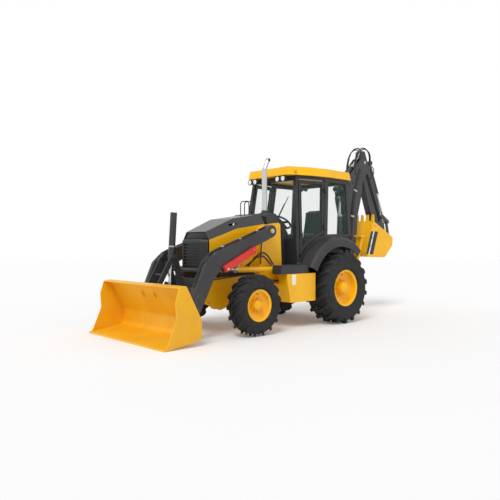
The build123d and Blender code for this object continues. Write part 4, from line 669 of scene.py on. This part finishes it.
# Loader: steel pipes along the arms' backs, in clips with screws
PIPE_RADIUS, HOSE_RADIUS = 0.0095, 0.0125
arm_pipes = []
for lane, y in enumerate((0.628, 0.660)):
    arm_pipes.append(tube(f"arm_pipe_left_{lane}", [from_axle(x, y, z) for x, z in (
        (1.66, 1.728), (2.06, 1.575), (2.50, 1.425), (2.78, 1.325), (2.93, 1.215), (3.00, 1.110), (3.07, 0.930),
        (3.13, 0.800))], PIPE_RADIUS, CAB_BLACK, "loader_arms"))
for k, (x, z, lean) in enumerate(((1.85, 1.659, -21), (2.22, 1.522, -19), (2.58, 1.398, -19))):
    clip = block(f"arm_clip_left_{k}", (-0.022, 0.610, -0.012), (0.022, 0.678, 0.010), 0.003, ZINC, "loader_arms")
    clip.data.transform(Matrix.Translation(from_axle(x, 0, z)) @ Matrix.Rotation(math.radians(-lean), 4, "Y"))
    arm_pipes.append(clip)
    arm_pipes.append(turned(f"arm_clip_screw_left_{k}", [(0, 0.008), (0.006, 0.008), (0.007, 0.006)],
                            from_axle(x, 0.644, z + 0.009), (0.33, 0, 0.94), ZINC, "loader_arms", 6, 20))
for piece in arm_pipes:
    copied(piece, piece.name.replace("left", "right"), MIRRORED, "loader_arms")

# Red lock bar: its pin at the arm's bend, and the latch at its other end
turned("lock_pin", [(0, 0.020), (0.022, 0.020), (0.025, 0.016), (0.030, 0.016), (0.032, 0.012)],
       from_axle(2.585, 0.789, 1.052), (0, 1, 0), ROD_CHROME, "loader_arms", 28)
turned("lock_latch", [(0, 0.013), (0.014, 0.013), (0.016, 0.009)], from_axle(2.035, 0.789, 1.345), (0, 1, 0), ZINC,
       "loader_arms", 6, 20)

# Hoses beside the tower, in two loops behind the front wheel, and a line along the frame
for side_name, sign in SIDES:
    tube(f"tower_hose_{side_name}_a", [from_axle(x, sign * y, z) for x, y, z in (
        (1.900, 0.440, 1.000), (1.905, 0.540, 1.110), (1.830, 0.600, 1.235), (1.673, 0.612, 1.325),
        (1.540, 0.610, 1.245), (1.420, 0.610, 1.090), (1.330, 0.560, 1.010), (1.220, 0.440, 0.985))],
         HOSE_RADIUS, HOSE, "chassis", 4)
    tube(f"tower_hose_{side_name}_b", [from_axle(x, sign * y, z) for x, y, z in (
        (2.000, 0.440, 0.985), (2.005, 0.545, 1.075), (1.900, 0.610, 1.165), (1.720, 0.625, 1.285),
        (1.560, 0.625, 1.160), (1.440, 0.620, 1.040), (1.360, 0.560, 0.985), (1.260, 0.440, 0.965))],
         HOSE_RADIUS, HOSE, "chassis", 4)
    tube(f"frame_line_{side_name}", [from_axle(x, sign * 0.443, z) for x, z in (
        (2.60, 0.872), (2.29, 0.905), (1.70, 0.945), (1.12, 0.965))], 0.010, HOSE, "chassis")

# Loader bucket: domed heads of the wear edge's bolts, over its seven holes, a foot apart
EDGE_BOLT_PITCH = 0.3048
bolt = turned("edge_bolt_0", [(0, 0.0165), (0.004, 0.0155), (0.007, 0.012), (0.009, 0.006)], (0, 0, 0), (0, 0, 1),
              BUCKET_YELLOW, "loader_bucket", 20)
edge_bolts = []
for count in range(-3, 4):
    seat = skin("loader_bucket", from_axle(3.878, count * EDGE_BOLT_PITCH, 0.5), (0, 0, -1))
    place = Matrix.Translation(Vector((from_axle(3.86, 0, 0).x, seat.y, seat.z)))
    edge_bolts.append(copied(bolt, f"edge_bolt_{count + 4}", place, "loader_bucket"))
bpy.data.objects.remove(bolt)
joined(edge_bolts, "edge_bolts")

# Nose: a black panel that closes the hood's front above the grille, and a thin black plate over the frame's front end
# that makes the frame's nose dark
panel = block("nose_panel", (2.088, -0.336, 1.529), (2.118, 0.336, 1.630), 0.004, NOSE_BLACK, "hood")
for vertex in panel.data.vertices:
    if vertex.co.z > 1.58:
        vertex.co.y *= 0.262 / 0.336
side_plate("frame_nose_dark_plate", ((2.797, 0.50), (2.756, 0.90), (2.767, 0.90), (2.808, 0.50)), -0.42, 0.42, 0.003,
           BLACK_PLASTIC, "chassis")
turned("tilt_band", [(0, 0.0535), (0.002, 0.0570), (0.022, 0.0570), (0.024, 0.0535)], from_axle(3.0695, 0, 1.387),
       (-0.067, 0, 0.998), ZINC, "tilt_barrel", 36)

# Tower: a dark strip down its outer face at its front edge, before the hoses' loops; it is painted shadow, standing in
# for the shade in the gap between the tower and the hood's side
for side_name, sign in SIDES:
    seat = skin("main_frame", from_axle(1.64, sign * 0.9, 1.30), (0, -sign, 0))
    side_plate(f"tower_strip_{side_name}", ((1.629, 1.640), (1.655, 1.640), (1.688, 1.104), (1.662, 1.104)),
               seat.y - sign * 0.001, seat.y + sign * 0.006, 0.002, SEAL_RUBBER, "chassis")

# Exhaust: heat-blackened outlet and a clamp at its foot
turned("exhaust_outlet", [(0, 0.0395), (0.004, 0.0405), (0.050, 0.0405), (0.054, 0.0375), (0.054, 0.033),
                          (0.020, 0.031)],
       from_axle(1.2209, 0.270, 2.9055), (-0.11, 0, 0.994), BURNT_STEEL, "chassis", 36)
turned("exhaust_clamp", [(0, 0.0475), (0.002, 0.0515), (0.022, 0.0515), (0.024, 0.0475)], from_axle(1.300, 0.270, 2.03),
       (0, 0, 1), ZINC, "chassis", 36)
turned("exhaust_foot", [(0, 0.085), (0.006, 0.085), (0.010, 0.080), (0.014, 0.058), (0.050, 0.052)],
       from_axle(1.300, 0.270, 1.984), (0, 0, 1), BLACK_PLASTIC, "chassis", 36)
turned("fuel_cap", [(0, 0.045), (0.012, 0.045), (0.012, 0.052), (0.030, 0.052), (0.034, 0.047), (0.036, 0.020),
                    (0.040, 0.016)],
       from_axle(1.00, 0.80, 1.084), (0, 0, 1), BLACK_PLASTIC, "chassis", 24)

# Roof lamps: a bright lens in a black rim on each packed lamp, and the corner markers
lens_seats = [(0.958, y, 2.62, 1) for y in (-0.48, -0.34, 0.25, 0.39)]
lens_seats += [(-0.635, y, 2.615, -1) for y in (-0.61, -0.48, 0.48, 0.61)]
for count, (x, y, z, way) in enumerate(lens_seats):
    turned(f"lamp_lens_{count}", [(0, 0.045), (0.005, 0.045), (0.010, 0.040), (0.013, 0.026), (0.014, 0.008)],
           from_axle(x, y, z), (way, 0, 0), CLEAR_LENS, "chassis", 36)
    turned(f"lamp_rim_{count}", [(0, 0.0525), (0.009, 0.0525), (0.012, 0.050), (0.012, 0.0465), (0.004, 0.0455)],
           from_axle(x, y, z), (way, 0, 0), BLACK_PLASTIC, "chassis", 36)
for side_name, sign in SIDES:
    face = skin("cab_roof", from_axle(1.6, sign * 0.57, 2.735), (-1, 0, 0))
    block(f"front_marker_{side_name}", face + Vector((-0.004, -0.045, -0.022)), face + Vector((0.016, 0.045, 0.022)),
          0.005, AMBER_LENS, "chassis")
    face = skin("cab_roof", from_axle(-1.2, sign * 0.60, 2.735), (1, 0, 0))
    block(f"rear_marker_{side_name}", face + Vector((-0.016, -0.050, -0.022)), face + Vector((0.004, 0.050, 0.022)),
          0.005, RED_LENS, "chassis")


# Windows: a rubber seal round each pane, from the pane's own outline

def seal(name, node_name, outward, body):
    """A rubber bead along the outer edge of the panes of a glass node whose faces look outward."""
    begin()
    pane = NODES[node_name].copy()
    pane.data = NODES[node_name].data.copy()
    scene.collection.objects.link(pane)
    take(pane)
    bpy.ops.object.mode_set(mode="EDIT")
    bpy.ops.mesh.select_all(action="SELECT")
    bpy.ops.mesh.remove_doubles(threshold=0.0001)
    bpy.ops.mesh.select_all(action="DESELECT")
    bpy.ops.object.mode_set(mode="OBJECT")
    for face in pane.data.polygons:
        face.select = face.normal.dot(Vector(outward)) < 0.75
    bpy.ops.object.mode_set(mode="EDIT")
    bpy.ops.mesh.delete(type="FACE")
    bpy.ops.mesh.select_all(action="SELECT")
    bpy.ops.mesh.dissolve_limited(angle_limit=math.radians(4))
    bpy.ops.mesh.select_all(action="SELECT")
    bpy.ops.mesh.delete(type="ONLY_FACE")
    bpy.ops.object.mode_set(mode="OBJECT")
    bpy.ops.object.convert(target="CURVE")
    bead = bpy.context.object
    bead.data.bevel_depth = 0.0095
    bead.data.bevel_resolution = 2
    bpy.ops.object.convert(target="MESH")
    return settle(bpy.context.object, name, SEAL_RUBBER, body, 50)


seal("door_seal_left", "door_glass_left", (0, 1, 0), "door_left")
seal("door_seal_right", "door_glass_right", (0, -1, 0), "door_right")
seal("side_seal_left", "cab_glass", (0, 1, 0), "chassis")
seal("side_seal_right", "cab_glass", (0, -1, 0), "chassis")
seal("front_seal", "cab_glass", (1, 0, 0), "chassis")
seal("rear_seal", "cab_glass", (-1, 0, 0), "chassis")

# Wiper: motor spindle, arm and blade on the windscreen
low = skin("cab_glass", from_axle(1.6, 0.05, 1.68), (-1, 0, 0))
high = skin("cab_glass", from_axle(1.6, 0.40, 2.30), (-1, 0, 0))
off = Vector((0.022, 0, 0.002))
turned("wiper_spindle", [(0, 0.026), (0.012, 0.026), (0.016, 0.020), (0.030, 0.018), (0.033, 0.012)],
       low - Vector((0.002, 0, 0)), (1, 0, 0.11), BLACK_PLASTIC, "chassis", 24)
tube("wiper_arm", [low + off, low.lerp(high, 0.4) + off * 1.5, low.lerp(high, 0.8) + off * 1.1], 0.006, CAB_BLACK,
     "chassis")
tube("wiper_blade", [low.lerp(high, 0.42) + off * 0.45, low.lerp(high, 0.75) + off * 0.45, high + off * 0.45], 0.007,
     HOSE, "chassis")

# Door handles: a recessed plate with a pull lever
for side_name, sign in SIDES:
    face = skin(f"door_{side_name}", from_axle(0.800, sign * 1.4, 1.60), (0, -sign, 0))
    body = f"door_{side_name}"
    block(f"handle_plate_{side_name}", face + Vector((-0.030, -0.005, -0.060)), face + Vector((0.030, 0.005, 0.060)),
          0.003, BLACK_PLASTIC, body)
    tube(f"handle_lever_{side_name}", [face + Vector((x, sign * y, z)) for x, y, z in (
        (0.0, 0.0, 0.045), (0.0, 0.040, 0.046), (0.0, 0.044, 0.0), (0.0, 0.040, -0.046), (0.0, 0.0, -0.045))], 0.007,
        ZINC, body)

# Tank side: a bare white plate, and step treads on the step boxes
plate_face = skin("side_tanks", from_axle(1.24, 1.4, 0.84), (0, -1, 0))
side_plate("bare_plate", ((1.295, 0.925), (1.200, 0.925), (1.200, 0.755), (1.295, 0.755)), plate_face.y,
           plate_face.y + 0.002, 0.0006, WHITE_PAINT, "chassis")
treads = []
for sign in (1, -1):
    for count in range(9):
        x = 0.96 + count * 0.045
        low_y, high_y = sorted((sign * 0.745, sign * 0.915))
        treads.append(block(f"tread_bar_{sign}_{count}", (from_axle(x, 0, 0).x, low_y, 1.0835),
                            (from_axle(x + 0.020, 0, 0).x, high_y, 1.0915), 0.002, BLACK_PLASTIC, "chassis"))
joined(treads, "step_treads")

# Backhoe: pipes on both sides of the boom, in clips, and of the dipper, and hose loops over the boom's head
hoe_pipes = []
for lane, shift in enumerate((-0.026, 0.0, 0.026)):
    hoe_pipes.append(tube(f"boom_pipe_left_{lane}", [from_axle(x + shift, 0.1305, z) for x, z in (
        (-1.330, 1.25), (-1.400, 1.75), (-1.460, 2.30), (-1.580, 2.75), (-1.740, 3.08))], PIPE_RADIUS, CAB_BLACK,
        "hoe_boom"))
for k, (x, z, lean) in enumerate(((-1.368, 1.50, 8), (-1.430, 2.05, 7), (-1.535, 2.60, 15))):
    clip = block(f"boom_clip_left_{k}", (-0.052, -0.010, -0.018), (0.052, 0.013, 0.018), 0.003, ZINC, "hoe_boom")
    clip.data.transform(Matrix.Translation(from_axle(x, 0.130, z)) @ Matrix.Rotation(math.radians(-lean), 4, "Y"))
    hoe_pipes.append(clip)
for piece in hoe_pipes:
    copied(piece, piece.name.replace("left", "right"), MIRRORED, "hoe_boom")
for lane, shift in enumerate((-0.022, 0.012)):
    pipe = tube(f"dipper_pipe_left_{lane}", [from_axle(x + shift, 0.0835, z - shift) for x, z in (
        (-2.030, 2.98), (-2.200, 2.62), (-2.400, 2.25), (-2.520, 1.98))], 0.009, CAB_BLACK, "hoe_dipper")
    copied(pipe, pipe.name.replace("left", "right"), MIRRORED, "hoe_dipper")
# Loops that cross the dipper's pin, from the boom at one end to the dipper at the other
for k, (y, lift) in enumerate(((-0.108, 0.015), (-0.080, 0.045), (0.080, 0.030), (0.108, 0.0))):
    loop = tube(f"head_hose_{k}", [from_axle(x, y * w, z) for x, z, w in (
        (-1.560, 2.930, 1.1), (-1.545, 3.080, 1.1), (-1.585, 3.290 + lift, 1.05), (-1.700, 3.460 + lift, 1),
        (-1.880, 3.550 + lift, 1), (-2.060, 3.510 + lift, 1), (-2.150, 3.380, 0.95), (-2.120, 3.200, 0.72))],
        HOSE_RADIUS, HOSE, None, 4)
    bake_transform(loop)
for k, y in enumerate((-0.05, 0.05)):
    tube(f"boom_cylinder_hose_{k}", [from_axle(x, y * w, z) for x, z, w in (
        (-1.180, 2.350, 0.9), (-1.060, 2.480, 1), (-1.050, 2.750, 1.1), (-1.180, 2.930, 1.2), (-1.370, 2.930, 1.3),
        (-1.450, 2.740, 2.5))], 0.011, HOSE, "hoe_boom", 4)
    tube(f"dipper_hose_{k}", [from_axle(x, y * w, z) for x, z, w in (
        (-2.250, 3.200, 0.7), (-2.330, 3.180, 1), (-2.330, 3.020, 1.3), (-2.200, 2.940, 1.6), (-2.110, 2.860, 1.7))],
         0.010, HOSE, "hoe_dipper", 4)
# Hoses to the boom's cylinder and bucket, across the place where the post swings on its king pin
for k, y in enumerate((-0.13, -0.08, 0.08, 0.13)):
    loop = tube(f"swing_hose_{k}", [from_axle(x, y * w, z) for x, z, w in (
        (-0.770, 1.150, 1.4), (-0.860, 1.230, 1.3), (-0.960, 1.260, 1.1), (-1.060, 1.230, 1.0), (-1.110, 1.130, 0.95))],
                0.012, HOSE, None, 4)
    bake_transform(loop)

# Backhoe bucket: heads of the side cutters' bolts
for side_name, sign in SIDES:
    for k, (x, z) in enumerate(((-2.010, 1.860), (-1.905, 1.600), (-1.835, 1.420))):
        seat = skin("hoe_bucket", from_axle(x, sign * 0.6, z), (0, -sign, 0))
        turned(f"side_bolt_{side_name}_{k}", [(0, 0.017), (0.010, 0.017), (0.012, 0.013)], seat, (0, sign, 0), ZINC,
               "hoe_bucket", 6, 20)

# Cab: two cushions in woven cloth on a shell and bellows, a side console and levers

CLOTH_PRESSURE = 4.0   # newtons a square metre that fill a cushion
MOST_SWELL = 0.016     # metres that a cushion's cloth may rise from its cage


def cushion(name, outline, half_width, body):
    """A crowned pad in the space of a side-view outline: a cage swollen under cloth pressure, then smoothed."""
    begin()
    bpy.ops.mesh.primitive_circle_add(vertices=len(outline), radius=1, fill_type="NGON")
    pad = bpy.context.object
    for vertex, (x, z) in zip(pad.data.vertices, outline):
        vertex.co = from_axle(x, -half_width, z)
    bpy.ops.object.mode_set(mode="EDIT")
    bpy.ops.mesh.select_all(action="SELECT")
    bpy.ops.mesh.extrude_region_move(TRANSFORM_OT_translate={"value": (0, 2 * half_width, 0)})
    bpy.ops.mesh.select_all(action="SELECT")
    bpy.ops.mesh.normals_make_consistent(inside=False)
    bpy.ops.mesh.bevel(offset=0.022, segments=2, affect="EDGES")
    bpy.ops.object.mode_set(mode="OBJECT")
    remesh = pad.modifiers.new("cage", "REMESH")
    remesh.mode = "VOXEL"
    remesh.voxel_size = 0.012
    bpy.ops.object.modifier_apply(modifier="cage")
    flat = [vertex.co.copy() for vertex in pad.data.vertices]
    cloth = pad.modifiers.new("filling", "CLOTH")
    cloth.settings.use_pressure = True
    cloth.settings.uniform_pressure_force = CLOTH_PRESSURE
    cloth.settings.effector_weights.gravity = 0.0
    for moment in range(1, 15):
        scene.frame_set(moment)
    take(pad)
    bpy.ops.object.modifier_apply(modifier="filling")
    for vertex, start in zip(pad.data.vertices, flat):
        swell = vertex.co - start
        if swell.length > MOST_SWELL:
            vertex.co = start + swell.normalized() * MOST_SWELL
    scene.frame_set(1)
    settle(pad, name, CLOTH, body, 60)
    return pad


seat_cushion = cushion("seat_cushion", ((-0.175, 1.565), (-0.180, 1.645), (0.225, 1.640), (0.235, 1.560)), 0.222,
                       "chassis")
back_cushion = cushion("back_cushion", ((-0.222, 1.600), (-0.300, 1.580), (-0.385, 2.100), (-0.310, 2.115)), 0.215,
                       "chassis")
for piece in (seat_cushion, back_cushion):
    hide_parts("seat")
block("side_console", from_axle(-0.42, -0.530, 1.115), from_axle(0.24, -0.350, 1.600), 0.025, BLACK_PLASTIC, "chassis")
block("seat_pan", from_axle(-0.23, -0.225, 1.520), from_axle(0.245, 0.225, 1.562), 0.012, BLACK_PLASTIC, "chassis")
side_plate("seat_shell", ((-0.220, 1.560), (-0.330, 1.545), (-0.425, 2.100), (-0.395, 2.125), (-0.300, 1.600)), -0.205,
           0.205, 0.010, BLACK_PLASTIC, "chassis")
turned("seat_bellows", [(0, 0.150)] + [(0.010 + 0.022 * k + 0.011 * s,
                                        0.150 - 0.018 * s) for k in range(18) for s in (0, 1)]
       + [(0.410, 0.150)], from_axle(0.0, 0, 1.115), (0, 0, 1), BLACK_PLASTIC, "chassis", 32, 60)
for k, (x, y, foot, lean) in enumerate(((-0.455, 0.11, 1.555, 0.10), (-0.455, -0.11, 1.555, 0.10),
                                        (0.20, -0.36, 1.30, -0.05))):
    top = from_axle(x + lean, y, foot + 0.33)
    tube(f"lever_{k}", [from_axle(x, y, foot), from_axle(x + lean * 0.2, y, foot + 0.2), top], 0.008, ROD_CHROME,
         "chassis")
    turned(f"lever_knob_{k}", [(0, 0.014), (0.012, 0.022), (0.030, 0.026), (0.045, 0.024), (0.056, 0.012)],
           top - Vector((0, 0, 0.012)), (0, 0, 1), BLACK_PLASTIC, "chassis", 24, 60)
    turned(f"lever_boot_{k}", [(0, 0.045), (0.012, 0.040), (0.018, 0.030), (0.032, 0.024), (0.050, 0.012)],
           from_axle(x, y, foot - 0.002), (0, 0, 1), HOSE, "chassis", 24, 60)


# Floor and light

SKY_LIGHT = 0.62   # strength of the sky on the machine; the camera and reflections see it as plain white
KEY_LIGHT = 1.5    # sun strength, watts a square metre


def build_floor():
    """A wide pale floor that shows white to the camera and keeps the machine's shadow."""
    bpy.ops.object.select_all(action="DESELECT")
    bpy.ops.mesh.primitive_plane_add(size=120.0, location=(0, 0, 0))
    floor = bpy.context.object
    floor.name = "floor"
    material, tree, shader, place = new_finish("pale_studio_floor", Roughness=0.9, Emission_Color="FFFFFF",
                                               Emission_Strength=0.1)
    noise = add_node(tree, "ShaderNodeTexNoise", {"Vector": place, "Scale": 1 / 2.0, "Detail": 4.0, "Roughness": 0.55})
    shade = add_node(tree, "ShaderNodeMix", {MIX_AMOUNT: noise.outputs["Fac"], MIX_FIRST: "F4F4F4",
                                             MIX_SECOND: "F0F0F1"}, data_type="RGBA")
    tree.links.new(shade.outputs[MIX_RESULT], shader.inputs["Base Color"])
    floor.data.materials.append(material)


def build_light():
    """Soft even daylight from the whole sky, and one large soft key from the front left."""
    world = bpy.data.worlds.new("studio_sky")
    scene.world = world
    world.use_nodes = True
    tree = world.node_tree
    background = tree.nodes["Background"]
    path = add_node(tree, "ShaderNodeLightPath")
    seen = add_node(tree, "ShaderNodeMath", {0: path.outputs["Is Camera Ray"], 1: path.outputs["Is Glossy Ray"]},
                    operation="MAXIMUM")
    through = add_node(tree, "ShaderNodeMath", {0: seen.outputs["Value"], 1: path.outputs["Is Transmission Ray"]},
                       operation="MAXIMUM")
    level = add_node(tree, "ShaderNodeMapRange", {"Value": through.outputs["Value"], "To Min": SKY_LIGHT})
    background.inputs["Color"].default_value = (1, 1, 1, 1)
    tree.links.new(level.outputs["Result"], background.inputs["Strength"])
    key = bpy.data.lights.new("key_light", "SUN")
    key.energy = KEY_LIGHT
    key.angle = math.radians(25)
    key_object = bpy.data.objects.new("key_light", key)
    key_object.rotation_euler = (math.radians(42), 0, math.radians(120))
    scene.collection.objects.link(key_object)


build_floor()
build_light()
